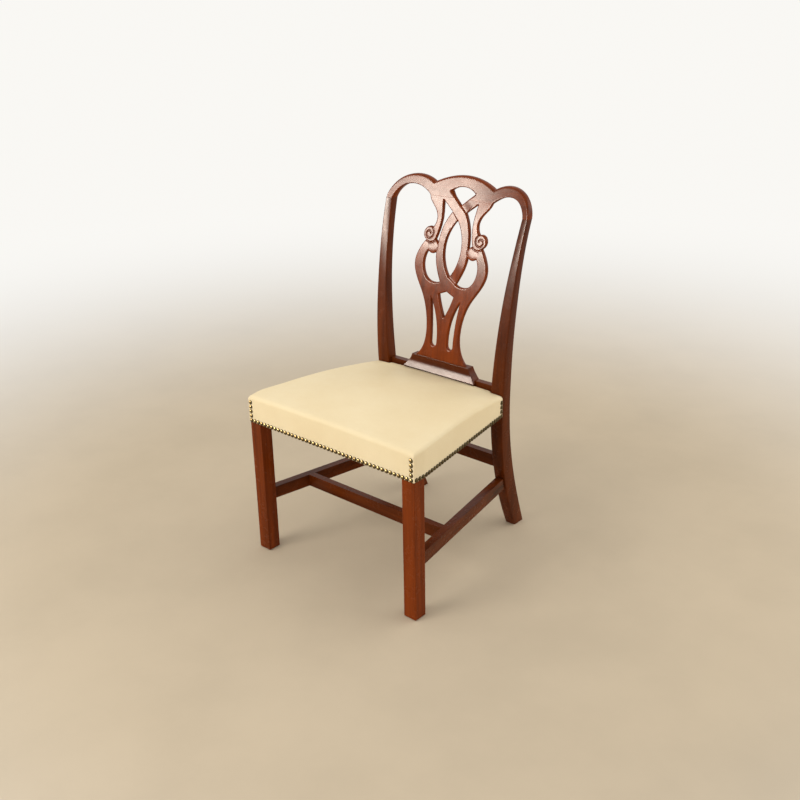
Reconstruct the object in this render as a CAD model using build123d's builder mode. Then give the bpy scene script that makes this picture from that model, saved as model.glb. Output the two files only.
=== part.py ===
"""Side chair with a pierced, interlaced splat and a nailed leather seat.

Millimetres, +Z up. The sitter faces -Y, X runs across the seat, the floor is Z = 0 and the
origin is the middle of the chair's box on the floor. Depths are measured back from the faces
of the front legs, and y_at() turns such a depth into Y.
"""
import os
from collections import namedtuple
from math import cos, hypot, radians, sin, sqrt

from build123d import *

os.makedirs("parts", exist_ok=True)

# Overall sizes
OVERALL_HEIGHT = 971.0
OVERALL_DEPTH = 592.0
FRONT_WIDTH = 565.0
SEAT_DEPTH = 435.0
BACK_WIDTH = 442.0
FOOT_WIDTH = 386.0
CREST_WIDTH = 469.0

# Leather cover and its nails
COVER_THICKNESS = 1.5
COVER_BOTTOM = 381.0
COVER_EDGE_ROUND = 9.0
NAIL_DIAMETER = 11.5
NAIL_RISE = 4.0
NAIL_PITCH = 12.7
NAIL_LINE = 387.0
NAIL_INSET = 7.0
NAIL_SIDES = 8
NAIL_EASE = 2.4
FRONT_CORNER_COUNT = 4
BACK_CORNER_COUNT = 3

# Crown of the seat: depth, height over the middle, height at the edge beside it
CROWN_STATIONS = ((-30.0, 451.0, 448.0), (0.0, 458.0, 455.0), (120.0, 472.5, 460.0),
                  (240.0, 474.0, 459.0), (350.0, 462.5, 451.0), (435.0, 446.0, 441.5), (470.0, 438.0, 436.0))

# Front legs
LEG = 38.0
LEG_EDGE = 1.5
LEG_FOOT_EASE = 3.0

# Seat frame
RAIL_THICKNESS = 24.0
RAIL_BOTTOM = 383.0
DECK_FRONT = 438.0
DECK_BACK = 424.0
REAR_RAIL_TOP = 456.0
REAR_RAIL_SETBACK = 2.0
REAR_RAIL_THICKNESS = 28.0
REAR_RAIL_REBATE = 10.0

# Rear legs and posts, with the depth of the section at heights up the post
POST_BEND = 460.0
FOOT_POST_WIDTH = 31.0
SEAT_POST_WIDTH = 40.5
TOP_POST_WIDTH = 19.5
POST_EDGE = 3.0
POST_FILLET = 1500.0
POST_DEPTHS = ((0.0, 42.0), (150.0, 46.0), (300.0, 40.5), (460.0, 35.0), (660.0, 28.5))
CREST_JOINT_DEPTH = 24.0

# Curved back: the splat's face is an arc in side view, the crest is bowed in plan
RAKE_FOOT = 357.0
RAKE_REACH = 119.3
SPLAT_SETBACK = 5.3
SPLAT_THICKNESS = 12.0
CREST_PLAN_RADIUS = 888.0
CREST_MID_DEPTH = 20.0
CREST_TOP_DEPTH = 11.0

# Shoe of the splat
SHOE_TOP = 487.0
SHOE_LEDGE = 460.0
SHOE_BOTTOM = 448.0
SHOE_BASE_WIDTH = 244.0
SHOE_TOP_WIDTH = 206.0
SHOE_PROUD = 8.4
SHOE_MARGIN = 2.0

# Stretchers
STRETCHER_HEIGHT = 34.0
STRETCHER_TOP = 177.0
SIDE_STRETCHER_THICKNESS = 22.0
SIDE_STRETCHER_INSET = 4.0
CROSS_STRETCHER_THICKNESS = 19.0
CROSS_STRETCHER_DEPTH = 155.0
REAR_STRETCHER_TOP = 239.0
REAR_STRETCHER_THICKNESS = 20.0

# Seat carcass
WEB_WIDTH = 50.0
WEB_THICKNESS = 2.0
STRAPS_LENGTHWISE = 4
STRAPS_CROSSWISE = 3
STRAP_SPACING = 100.0
FIRST_STRAP_DEPTH = 110.0
STRAP_END_INSET = 4.0
HESSIAN_THICKNESS = 0.8
HESSIAN_INSET = 5.0
FOAM_GAP = 0.3
BLOCK_LENGTH = 62.0
BLOCK_BOTTOM = 392.0
BLOCK_TOP = 422.0
SCREW_DIAMETER = 4.0
SCREW_HEAD = 8.0
SCREW_HEAD_RISE = 2.5
SCREW_LENGTH = 52.0
SCREW_FIT = 0.2

# Tenons
FIT = 0.15
MORTISE_ROOM = 1.0
TENON_ROOT = 10.0
RAIL_TENON_THICKNESS = 9.0
RAIL_TENON_LENGTH = 18.0
RAIL_TENON_SHOULDER = 10.0
STRETCHER_TENON_THICKNESS = 8.0
STRETCHER_TENON_LENGTH = 18.0
STRETCHER_TENON_SHOULDER = 6.0
CROSS_TENON_LENGTH = 12.0
POST_TENON = 8.0
POST_TENON_LENGTH = 12.0
POST_TENON_INSET = 3.0
SPLAT_TENON_THICKNESS = 6.0
SPLAT_TENON_LENGTH = 12.0
SPLAT_TENON_ROOT = 3.0

# Pattern of the crest and the pierced splat, drawn for one height and stretched to the chair's
PATTERN_HEIGHT = 971.0
PATTERN_JOINT = 896.0
PATTERN_FORK = 914.0
VOLUTE_RADIUS = 18.5
BALL_RADIUS = 18.5
STRAP_CUT = 2.0
VOLUTE_GROOVE = 3.5
VOLUTE_ARC = (-65, 25, 115)
BALL_SHOULDER = (105, 128, 150)
BALL_UNDER = (-40, -90, -140)
CURL_START = 60
CURL_SWEEP = 290

SIDES = (("left", -1), ("right", 1))
TENON_ALIGN = (Align.CENTER, Align.CENTER, Align.MIN)
FRONT_Y = -OVERALL_DEPTH / 2 + COVER_THICKNESS + NAIL_RISE
FOOT_BACK = OVERALL_DEPTH / 2 - FRONT_Y
Joint = namedtuple("Joint", "plane height thickness length root", defaults=(TENON_ROOT,))


def y_at(depth):
    """Y of a point this far behind the faces of the front legs."""
    return FRONT_Y + depth


def arc_offset(rise, reach, height):
    """Sideways reach, at a height, of an arc that starts upright and reaches out over a rise."""
    radius = (rise**2 + reach**2) / (2 * reach)
    return radius - sqrt(radius**2 - height**2)


def raised(height):
    """Height of a point drawn for the pattern's height, stretched over the shoe to the chair's."""
    return SHOE_TOP + (height - SHOE_TOP) * (OVERALL_HEIGHT - SHOE_TOP) / (PATTERN_HEIGHT - SHOE_TOP)


def drawn(points):
    """Points of the pattern, as X and Z, at the chair's height."""
    return [(x, raised(height)) for x, height in points]


CREST_JOINT = raised(PATTERN_JOINT)
SPLAT_TOP = raised(PATTERN_FORK)


def deck(depth):
    """Height of the sloping plane through the tops of the front rail and the rear rebate."""
    return DECK_FRONT + (DECK_BACK - DECK_FRONT) * depth / SEAT_DEPTH


def rake(height):
    """Depth of the splat's face at a height."""
    start = SEAT_DEPTH + SPLAT_SETBACK
    return start + arc_offset(OVERALL_HEIGHT - RAKE_FOOT, RAKE_REACH, height - RAKE_FOOT)


def outer_x(height):
    """Half width over the outer faces of the rear posts at a height."""
    if height < POST_BEND:
        return (FOOT_WIDTH + (BACK_WIDTH - FOOT_WIDTH) * height / POST_BEND) / 2
    share = (height - POST_BEND) / (CREST_JOINT - POST_BEND)
    return (BACK_WIDTH + (CREST_WIDTH - BACK_WIDTH) * share) / 2


def inner_x(height):
    """Half width between the inner faces of the rear posts at a height."""
    foot = FOOT_WIDTH / 2 - FOOT_POST_WIDTH
    seat = BACK_WIDTH / 2 - SEAT_POST_WIDTH
    top = CREST_WIDTH / 2 - TOP_POST_WIDTH
    if height < POST_BEND:
        return foot + (seat - foot) * height / POST_BEND
    return seat + (top - seat) * (height - POST_BEND) / (CREST_JOINT - POST_BEND)


POST_TOP_X = (outer_x(CREST_JOINT) + inner_x(CREST_JOINT)) / 2
CREST_BOW = CREST_PLAN_RADIUS - sqrt(CREST_PLAN_RADIUS**2 - POST_TOP_X**2)
POST_FOOT_FRONT = FOOT_BACK - POST_DEPTHS[0][1]
POST_TOP_FRONT = rake(CREST_JOINT) - CREST_BOW


def post_front(height):
    """Depth of the front face of a rear post: two arcs that meet upright at the bend."""
    if height < POST_BEND:
        return SEAT_DEPTH + arc_offset(POST_BEND, POST_FOOT_FRONT - SEAT_DEPTH, POST_BEND - height)
    return SEAT_DEPTH + arc_offset(CREST_JOINT - POST_BEND, POST_TOP_FRONT - SEAT_DEPTH, height - POST_BEND)


def post_side_profile():
    """Side view of a rear post: two arcs in front, one curve behind."""
    top = (y_at(POST_TOP_FRONT), CREST_JOINT)
    bend = (y_at(SEAT_DEPTH), POST_BEND)
    foot = (y_at(POST_FOOT_FRONT), 0)
    low = POST_BEND / 2
    high = (POST_BEND + CREST_JOINT) / 2
    behind = [(y_at(post_front(z) + depth), z) for z, depth in POST_DEPTHS]
    behind.append((y_at(POST_TOP_FRONT + CREST_JOINT_DEPTH), CREST_JOINT))
    with BuildSketch(Plane.YZ) as profile:
        with BuildLine():
            ThreePointArc(foot, (y_at(post_front(low)), low), bend)
            ThreePointArc(bend, (y_at(post_front(high)), high), top)
            Line(top, behind[-1])
            Spline(behind)
            Line(behind[0], foot)
        make_face()
    return profile.sketch


def post_front_profile(sign):
    """Front view of a rear post, straight below and above an eased bend at the seat."""
    heights = (0, POST_BEND, CREST_JOINT)
    outline = [(sign * outer_x(z), z) for z in heights]
    outline += [(sign * inner_x(z), z) for z in reversed(heights)]
    with BuildSketch(Plane.XZ) as profile:
        with BuildLine():
            Polyline(outline, close=True)
        make_face()
        bends = profile.vertices().filter_by_position(Axis.Y, POST_BEND / 2, (POST_BEND + CREST_JOINT) / 2)
        fillet(bends, POST_FILLET)
    return profile.sketch


def tenon(joint):
    """Add a joint's tenon, rooted in the piece that carries it."""
    with Locations(joint.plane.offset(-joint.root)):
        Box(joint.height, joint.thickness, joint.length + joint.root, align=TENON_ALIGN)


def mortise(joint):
    """Cut a joint's mortise with room round the tenon."""
    depth = joint.length + joint.root + MORTISE_ROOM
    with Locations(joint.plane.offset(-joint.root)):
        Box(joint.height + 2 * FIT, joint.thickness + 2 * FIT, depth, align=TENON_ALIGN, mode=Mode.SUBTRACT)


def joint_at(x, depth, bottom, top, direction, thickness, length):
    """A tenon between two heights that leaves its shoulder in a direction."""
    plane = Plane((x, y_at(depth), (bottom + top) / 2), x_dir=(0, 0, 1), z_dir=direction)
    return Joint(plane, top - bottom, thickness, length)


# Lines of the side rails and stretchers in plan
LEG_X = FRONT_WIDTH / 2
RAIL_MID = (RAIL_BOTTOM + DECK_BACK) / 2
RAIL_BACK_X = outer_x(RAIL_MID)
STRETCHER_MID = STRETCHER_TOP - STRETCHER_HEIGHT / 2
STRETCHER_BACK = post_front(STRETCHER_MID)
STRETCHER_BACK_X = outer_x(STRETCHER_MID) - SIDE_STRETCHER_INSET
STRETCHER_FRONT_X = LEG_X - SIDE_STRETCHER_INSET


def rail_x(depth):
    """Half width over the side rails' outer faces at a depth behind the front legs."""
    return LEG_X + (RAIL_BACK_X - LEG_X) * (depth - LEG) / (SEAT_DEPTH - LEG)


def stretcher_x(depth):
    """Half width over the side stretchers' outer faces at a depth."""
    return STRETCHER_FRONT_X + (STRETCHER_BACK_X - STRETCHER_FRONT_X) * (depth - LEG) / (STRETCHER_BACK - LEG)


RAIL_SPREAD = RAIL_THICKNESS * hypot(1, (RAIL_BACK_X - LEG_X) / (SEAT_DEPTH - LEG))
STRETCHER_LEAN = (STRETCHER_BACK_X - STRETCHER_FRONT_X) / (STRETCHER_BACK - LEG)
STRETCHER_SPREAD = SIDE_STRETCHER_THICKNESS * hypot(1, STRETCHER_LEAN)
REAR_STRETCHER_MID = REAR_STRETCHER_TOP - STRETCHER_HEIGHT / 2
REAR_STRETCHER_DEPTH = post_front(REAR_STRETCHER_MID) + POST_DEPTHS[1][1] / 2
CROSS_MID = CROSS_STRETCHER_DEPTH + CROSS_STRETCHER_THICKNESS / 2
REAR_RAIL_FRONT = SEAT_DEPTH + REAR_RAIL_SETBACK
REAR_RAIL_BACK = REAR_RAIL_FRONT + REAR_RAIL_THICKNESS
REAR_UPRIGHT = REAR_RAIL_FRONT + REAR_RAIL_REBATE
RAIL_TENON_BOTTOM = RAIL_BOTTOM + RAIL_TENON_SHOULDER
RAIL_TENON_TOP = DECK_BACK - RAIL_TENON_SHOULDER / 2
STRETCHER_TENON_BOTTOM = STRETCHER_TOP - STRETCHER_HEIGHT + STRETCHER_TENON_SHOULDER
STRETCHER_TENON_TOP = STRETCHER_TOP - STRETCHER_TENON_SHOULDER


def front_rail_joint(sign):
    """Front rail into the inner face of a front leg."""
    x = sign * (LEG_X - LEG)
    return joint_at(x, RAIL_THICKNESS / 2, RAIL_TENON_BOTTOM, RAIL_TENON_TOP, (sign, 0, 0),
                    RAIL_TENON_THICKNESS, RAIL_TENON_LENGTH)


def side_rail_front_joint(sign):
    """Side rail into the back face of a front leg."""
    x = sign * (LEG_X - RAIL_SPREAD / 2)
    return joint_at(x, LEG, RAIL_TENON_BOTTOM, RAIL_TENON_TOP, (0, -1, 0),
                    RAIL_TENON_THICKNESS, LEG - RAIL_THICKNESS - MORTISE_ROOM)


def side_rail_back_joint(sign):
    """Side rail into the front face of a rear post."""
    x = sign * (RAIL_BACK_X - RAIL_SPREAD / 2)
    return joint_at(x, SEAT_DEPTH, RAIL_TENON_BOTTOM, RAIL_TENON_TOP, (0, 1, 0),
                    RAIL_TENON_THICKNESS, RAIL_TENON_LENGTH)


def rear_rail_joint(sign):
    """Rear rail into the inner face of a rear post."""
    depth = (REAR_UPRIGHT + REAR_RAIL_BACK) / 2
    length = RAIL_BACK_X - RAIL_SPREAD / 2 - RAIL_TENON_THICKNESS / 2 - inner_x(RAIL_MID) - 3 * MORTISE_ROOM
    return joint_at(sign * inner_x(RAIL_MID), depth, RAIL_TENON_BOTTOM, REAR_RAIL_TOP - RAIL_TENON_SHOULDER,
                    (sign, 0, 0), RAIL_TENON_THICKNESS, length)


def side_stretcher_front_joint(sign):
    """Side stretcher into the back face of a front leg."""
    x = sign * (STRETCHER_FRONT_X - STRETCHER_SPREAD / 2)
    return joint_at(x, LEG, STRETCHER_TENON_BOTTOM, STRETCHER_TENON_TOP, (0, -1, 0),
                    STRETCHER_TENON_THICKNESS, STRETCHER_TENON_LENGTH)


def side_stretcher_back_joint(sign):
    """Side stretcher into the front face of a rear leg."""
    x = sign * (STRETCHER_BACK_X - STRETCHER_SPREAD / 2)
    return joint_at(x, STRETCHER_BACK, STRETCHER_TENON_BOTTOM, STRETCHER_TENON_TOP, (0, 1, 0),
                    STRETCHER_TENON_THICKNESS, STRETCHER_TENON_LENGTH)


def cross_stretcher_joint(sign):
    """Cross stretcher into the inner face of a side stretcher."""
    x = sign * (stretcher_x(CROSS_MID) - STRETCHER_SPREAD)
    return joint_at(x, CROSS_MID, STRETCHER_TENON_BOTTOM, STRETCHER_TENON_TOP, (sign, 0, 0),
                    STRETCHER_TENON_THICKNESS, CROSS_TENON_LENGTH)


def rear_stretcher_joint(sign):
    """Rear stretcher into the inner face of a rear leg."""
    bottom = REAR_STRETCHER_TOP - STRETCHER_HEIGHT + STRETCHER_TENON_SHOULDER
    top = REAR_STRETCHER_TOP - STRETCHER_TENON_SHOULDER
    return joint_at(sign * inner_x(REAR_STRETCHER_MID), REAR_STRETCHER_DEPTH, bottom, top, (sign, 0, 0),
                    STRETCHER_TENON_THICKNESS, STRETCHER_TENON_LENGTH)


def post_crest_joint(sign):
    """Top of a rear post into an ear of the crest."""
    x = sign * (inner_x(CREST_JOINT) + POST_TENON_INSET + POST_TENON / 2)
    plane = Plane((x, y_at(POST_TOP_FRONT + CREST_JOINT_DEPTH / 2), CREST_JOINT), x_dir=(1, 0, 0))
    return Joint(plane, POST_TENON, POST_TENON, POST_TENON_LENGTH)


def block_corners(sign, front):
    """Plan of a corner block: notched round the leg or post, with a sloping inner face."""
    inside = [rail_x(LEG) - RAIL_SPREAD, rail_x(LEG + BLOCK_LENGTH) - RAIL_SPREAD]
    if front:
        leg_x = LEG_X - LEG
        plan = [(leg_x - BLOCK_LENGTH, RAIL_THICKNESS), (leg_x, RAIL_THICKNESS), (leg_x, LEG),
                (inside[0], LEG), (inside[1], LEG + BLOCK_LENGTH)]
    else:
        near = SEAT_DEPTH - BLOCK_LENGTH
        post_x = inner_x(BLOCK_BOTTOM)
        plan = [(rail_x(near) - RAIL_SPREAD, near), (rail_x(SEAT_DEPTH) - RAIL_SPREAD, SEAT_DEPTH),
                (post_x, SEAT_DEPTH), (post_x, REAR_RAIL_FRONT), (post_x - BLOCK_LENGTH, REAR_RAIL_FRONT)]
    return [(sign * x, y_at(depth)) for x, depth in plan]


def screw_plane(sign, front):
    """Plane on a corner block's sloping face, pointing into the leg or post behind it."""
    plan = block_corners(sign, front)
    start, end = Vector(*plan[0]), Vector(*plan[-1])
    middle = (start + end) / 2
    height = (BLOCK_BOTTOM + BLOCK_TOP) / 2
    along = end - start
    inward = Vector(-along.Y, along.X).normalized()
    if inward.dot(Vector(*plan[2]) - middle) < 0:
        inward = inward * -1
    return Plane((middle.X, middle.Y, height), z_dir=(inward.X, inward.Y, 0))


def screw_hole(sign, front):
    """Cut the hole that a corner block's screw passes through."""
    depth = SCREW_LENGTH + MORTISE_ROOM
    with Locations(screw_plane(sign, front)):
        Cylinder(SCREW_DIAMETER / 2 + SCREW_FIT, depth, align=TENON_ALIGN, mode=Mode.SUBTRACT)


def mirrored(points):
    """The same outline points on the other side of the chair, in the other order."""
    return [(-x, z) for x, z in reversed(points)]


def on_circle(centre, radius, angle):
    """Point of a circle in front view at an angle in degrees."""
    return (centre[0] + radius * cos(radians(angle)), centre[1] + radius * sin(radians(angle)))


# Rear legs and posts
post_side = post_side_profile()
for side, sign in SIDES:
    with BuildPart() as rear_leg:
        extrude(post_side, amount=sign * FRONT_WIDTH / 2)
        extrude(post_front_profile(sign), amount=OVERALL_DEPTH, both=True, mode=Mode.INTERSECT)
        chamfer(rear_leg.edges().filter_by(lambda edge: edge.bounding_box().size.Z > POST_EDGE), POST_EDGE)
        tenon(post_crest_joint(sign))
        mortise(side_rail_back_joint(sign))
        mortise(rear_rail_joint(sign))
        mortise(side_stretcher_back_joint(sign))
        mortise(rear_stretcher_joint(sign))
        screw_hole(sign, False)
    rear_leg.part.label = f"rear_leg_{side}"
    export_step(rear_leg.part, f"parts/rear_leg_{side}.step")

# Front legs, square in plan with eased feet
for side, sign in SIDES:
    with BuildPart() as front_leg:
        with BuildSketch() as square:
            with Locations((sign * (LEG_X - LEG / 2), y_at(LEG / 2))):
                Rectangle(LEG, LEG)
        extrude(amount=deck(LEG))
        chamfer(front_leg.faces().sort_by(Axis.Z)[0].edges(), LEG_FOOT_EASE)
        fillet(front_leg.edges().filter_by(Axis.Z), LEG_EDGE)
        mortise(front_rail_joint(sign))
        mortise(side_rail_front_joint(sign))
        mortise(side_stretcher_front_joint(sign))
        screw_hole(sign, True)
    front_leg.part.label = f"front_leg_{side}"
    export_step(front_leg.part, f"parts/front_leg_{side}.step")

# Seat rails
with BuildPart() as front_rail:
    with BuildSketch(Plane.YZ) as section:
        with BuildLine():
            Polyline((y_at(0), RAIL_BOTTOM), (y_at(0), deck(0)), (y_at(RAIL_THICKNESS), deck(RAIL_THICKNESS)),
                     (y_at(RAIL_THICKNESS), RAIL_BOTTOM), close=True)
        make_face()
    extrude(amount=LEG_X - LEG, both=True)
    for side, sign in SIDES:
        tenon(front_rail_joint(sign))
front_rail.part.label = "front_seat_rail"
export_step(front_rail.part, "parts/front_seat_rail.step")

for side, sign in SIDES:
    with BuildPart() as side_rail:
        end = SEAT_DEPTH + TENON_ROOT
        with BuildSketch() as plan:
            with BuildLine():
                Polyline((sign * rail_x(LEG), y_at(LEG)), (sign * rail_x(end), y_at(end)),
                         (sign * (rail_x(end) - RAIL_SPREAD), y_at(end)),
                         (sign * (rail_x(LEG) - RAIL_SPREAD), y_at(LEG)), close=True)
            make_face()
        extrude(amount=OVERALL_HEIGHT)
        with BuildSketch(Plane.YZ) as side_view:
            with BuildLine():
                Polyline((y_at(LEG), RAIL_BOTTOM), (y_at(end), RAIL_BOTTOM),
                         (y_at(end), deck(end) + WEB_THICKNESS),
                         (y_at(LEG), deck(LEG) + WEB_THICKNESS), close=True)
            make_face()
        extrude(amount=FRONT_WIDTH, both=True, mode=Mode.INTERSECT)
        extrude(post_side, amount=FRONT_WIDTH, both=True, mode=Mode.SUBTRACT)
        tenon(side_rail_front_joint(sign))
        tenon(side_rail_back_joint(sign))
    side_rail.part.label = f"side_seat_rail_{side}"
    export_step(side_rail.part, f"parts/side_seat_rail_{side}.step")

with BuildPart() as rear_rail:
    ledge = deck(REAR_UPRIGHT)
    with BuildSketch(Plane.YZ) as section:
        with BuildLine():
            Polyline((y_at(REAR_RAIL_FRONT), RAIL_BOTTOM), (y_at(REAR_RAIL_FRONT), ledge),
                     (y_at(REAR_UPRIGHT), ledge), (y_at(REAR_UPRIGHT), REAR_RAIL_TOP),
                     (y_at(REAR_RAIL_BACK), REAR_RAIL_TOP), (y_at(REAR_RAIL_BACK), RAIL_BOTTOM), close=True)
        make_face()
    extrude(amount=(inner_x(RAIL_MID) + outer_x(RAIL_MID)) / 2, both=True)
    for side, sign in SIDES:
        extrude(post_front_profile(sign), amount=OVERALL_DEPTH, both=True, mode=Mode.SUBTRACT)
        tenon(rear_rail_joint(sign))
rear_rail.part.label = "rear_seat_rail"
export_step(rear_rail.part, "parts/rear_seat_rail.step")

# Stretchers
for side, sign in SIDES:
    with BuildPart() as side_stretcher:
        end = STRETCHER_BACK + TENON_ROOT
        with BuildSketch(Plane.XY.offset(STRETCHER_TOP - STRETCHER_HEIGHT)) as plan:
            with BuildLine():
                Polyline((sign * stretcher_x(LEG), y_at(LEG)), (sign * stretcher_x(end), y_at(end)),
                         (sign * (stretcher_x(end) - STRETCHER_SPREAD), y_at(end)),
                         (sign * (stretcher_x(LEG) - STRETCHER_SPREAD), y_at(LEG)), close=True)
            make_face()
        extrude(amount=STRETCHER_HEIGHT)
        extrude(post_side, amount=FRONT_WIDTH, both=True, mode=Mode.SUBTRACT)
        tenon(side_stretcher_front_joint(sign))
        tenon(side_stretcher_back_joint(sign))
        mortise(cross_stretcher_joint(sign))
    side_stretcher.part.label = f"side_stretcher_{side}"
    export_step(side_stretcher.part, f"parts/side_stretcher_{side}.step")

with BuildPart() as cross_stretcher:
    near, far = CROSS_STRETCHER_DEPTH, CROSS_STRETCHER_DEPTH + CROSS_STRETCHER_THICKNESS
    ends = [(stretcher_x(depth) - STRETCHER_SPREAD, y_at(depth)) for depth in (near, far)]
    with BuildSketch(Plane.XY.offset(STRETCHER_TOP - STRETCHER_HEIGHT)) as plan:
        with BuildLine():
            Polyline(ends + mirrored(ends), close=True)
        make_face()
    extrude(amount=STRETCHER_HEIGHT)
    for side, sign in SIDES:
        tenon(cross_stretcher_joint(sign))
cross_stretcher.part.label = "cross_stretcher"
export_step(cross_stretcher.part, "parts/cross_stretcher.step")

with BuildPart() as rear_stretcher:
    with BuildSketch(Plane.XY.offset(REAR_STRETCHER_TOP - STRETCHER_HEIGHT)) as plan:
        with Locations((0, y_at(REAR_STRETCHER_DEPTH))):
            Rectangle(inner_x(REAR_STRETCHER_MID) + outer_x(REAR_STRETCHER_MID), REAR_STRETCHER_THICKNESS)
    extrude(amount=STRETCHER_HEIGHT)
    for side, sign in SIDES:
        extrude(post_front_profile(sign), amount=OVERALL_DEPTH, both=True, mode=Mode.SUBTRACT)
        tenon(rear_stretcher_joint(sign))
rear_stretcher.part.label = "rear_stretcher"
export_step(rear_stretcher.part, "parts/rear_stretcher.step")

# Crest rail: the front view, cut from a plank that is raked in side view and bowed in plan
CUSP = (98.5, raised(947.0))
CREST_FORK = (103.0, SPLAT_TOP)
EAR_TIP = (CREST_WIDTH / 2, CREST_JOINT)
EAR_ROOT = (inner_x(CREST_JOINT), CREST_JOINT)


def ear_curve(start, end, points):
    """Curve of an ear: points given as a share of the way across and a height, between its ends."""
    between = [(start[0] + (end[0] - start[0]) * share, height) for share, height in points]
    return [start, *drawn(between), end]


EAR_TOP = ear_curve(CUSP, EAR_TIP, [(0.38, 963.0), (0.755, 950.0), (0.93, 925.0)])
EAR_UNDER = ear_curve(EAR_ROOT, CREST_FORK, [(0.08, 915.0), (0.24, 931.0), (0.5, 937.5), (0.795, 929.0)])
WINDOW_CORNER = (40.0, raised(930.0))
WINDOW_TOP = raised(943.0)
WINDOW_FOOT = raised(897.0)
VOLUTE = (86.0, raised(816.0))
BALL = (66.8, raised(784.4))
WINDOW_AT_JOINT = WINDOW_CORNER[0] * (SPLAT_TOP - WINDOW_FOOT) / (WINDOW_CORNER[1] - WINDOW_FOOT)
crest_axis_y = y_at(rake(CREST_JOINT)) - CREST_PLAN_RADIUS


def splat_top_joint(sign):
    """One of the two tenons on top of the splat, into the crest."""
    left, right = WINDOW_CORNER[0], VOLUTE[0]
    y = y_at(rake(SPLAT_TOP) + SPLAT_THICKNESS / 2)
    lean = rake(SPLAT_TOP + SPLAT_TENON_LENGTH) - rake(SPLAT_TOP)
    along = (0, lean, SPLAT_TENON_LENGTH)
    plane = Plane((sign * (left + right) / 2, y, SPLAT_TOP), x_dir=(1, 0, 0), z_dir=along)
    return Joint(plane, right - left, SPLAT_TENON_THICKNESS, SPLAT_TENON_LENGTH, SPLAT_TENON_ROOT)


with BuildPart() as crest_rail:
    with BuildSketch(Plane.XZ) as front_view:
        with BuildLine():
            Spline(EAR_TOP)
            Line(EAR_TOP[-1], EAR_UNDER[0])
            Spline(EAR_UNDER)
            Polyline(CREST_FORK, (WINDOW_AT_JOINT, SPLAT_TOP), WINDOW_CORNER)
            ThreePointArc(WINDOW_CORNER, (0, WINDOW_TOP), (-WINDOW_CORNER[0], WINDOW_CORNER[1]))
            Polyline(mirrored([CREST_FORK, (WINDOW_AT_JOINT, SPLAT_TOP), WINDOW_CORNER]))
            Spline(mirrored(EAR_UNDER))
            Line((-EAR_UNDER[0][0], CREST_JOINT), (-CREST_WIDTH / 2, CREST_JOINT))
            Spline(mirrored(EAR_TOP))
            ThreePointArc((-CUSP[0], CUSP[1]), (0, OVERALL_HEIGHT), CUSP)
        make_face()
    extrude(amount=OVERALL_DEPTH, both=True)
    low, high = CREST_JOINT - TENON_ROOT, OVERALL_HEIGHT + TENON_ROOT
    middle = (low + high) / 2
    face = [(2 * crest_axis_y - y_at(rake(z)), z) for z in (low, middle, high)]
    depths = (CREST_JOINT_DEPTH, CREST_MID_DEPTH, CREST_TOP_DEPTH)
    behind = [(y - depth, z) for (y, z), depth in zip(face, depths)]
    with BuildSketch(Plane.YZ) as plank:
        with BuildLine():
            ThreePointArc(*face)
            Line(face[2], behind[2])
            Polyline(*reversed(behind), face[0])
        make_face()
    revolve(axis=Axis((0, crest_axis_y, 0), (0, 0, 1)), mode=Mode.INTERSECT)
    for side, sign in SIDES:
        mortise(post_crest_joint(sign))
        mortise(splat_top_joint(sign))
crest_rail.part.label = "crest_rail"
export_step(crest_rail.part, "parts/crest_rail.step")

# Splat: its outline and piercings, right half first, cut from a plank bent to the rake
SPLAT_SIDE = drawn([(87.0, SHOE_TOP), (61.5, 524.0), (56.0, 564.0), (62.5, 612.0), (80.5, 657.0),
                    (107.0, 697.5), (121.0, 739.0), (111.0, 774.0)])
SPLAT_SIDE.append(on_circle(VOLUTE, VOLUTE_RADIUS, VOLUTE_ARC[0]))
SCROLL_OUTER = [on_circle(VOLUTE, VOLUTE_RADIUS, VOLUTE_ARC[2]),
                *drawn([(70.5, 845.0), (69.0, 860.0), (78.4, 880.0), (95.4, 899.0)]), CREST_FORK]
SCROLL_INNER = drawn([(57.0, 906.0), (54.0, 885.0), (51.5, 861.0), (53.0, 837.0), (57.5, 816.0)])
SCROLL_INNER.append(on_circle(BALL, BALL_RADIUS, BALL_SHOULDER[0]))
KNOT_TOP = (23.0, raised(880.0))
KNOT_LOW = (27.0, raised(698.0))
STRAP_SIDE = [on_circle(BALL, BALL_RADIUS, BALL_SHOULDER[2]),
              *drawn([(48.5, 818.0), (42.4, 843.0)]), KNOT_TOP]
STRAP_TAIL = [on_circle(BALL, BALL_RADIUS, BALL_UNDER[2]),
              *drawn([(50.0, 752.6), (42.4, 729.0)]), KNOT_LOW]
RING_INNER = [KNOT_LOW, *drawn([(47.7, 693.0), (69.0, 698.5), (85.0, 718.0), (90.0, 745.0)]),
              on_circle(BALL, BALL_RADIUS, BALL_UNDER[0])]
EYE_TOP = raised(860.0)
EYE_FOOT = raised(714.5)
EYE_SIDE = (27.5, raised(790.0))
ARCH_CORNER, ARCH_FLANK = drawn([(25.0, 664.6), (12.5, 630.0)])
ARCH_TOP = raised(675.0)
ARCH_FOOT = raised(605.0)
SLOT_TIP, SLOT_INNER, SLOT_OUTER = drawn([(49.5, 654.0), (28.0, 608.0), (42.5, 608.0)])
SLOT_LEFT, SLOT_RIGHT, SLOT_FOOT = drawn([(18.5, 531.0), (37.5, 531.0), (28.0, 521.5)])
POCKET_RUN = 11.0


def flipped(points, sign):
    """Outline points on the right, or the same on the left."""
    return [(sign * x, z) for x, z in points]


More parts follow.
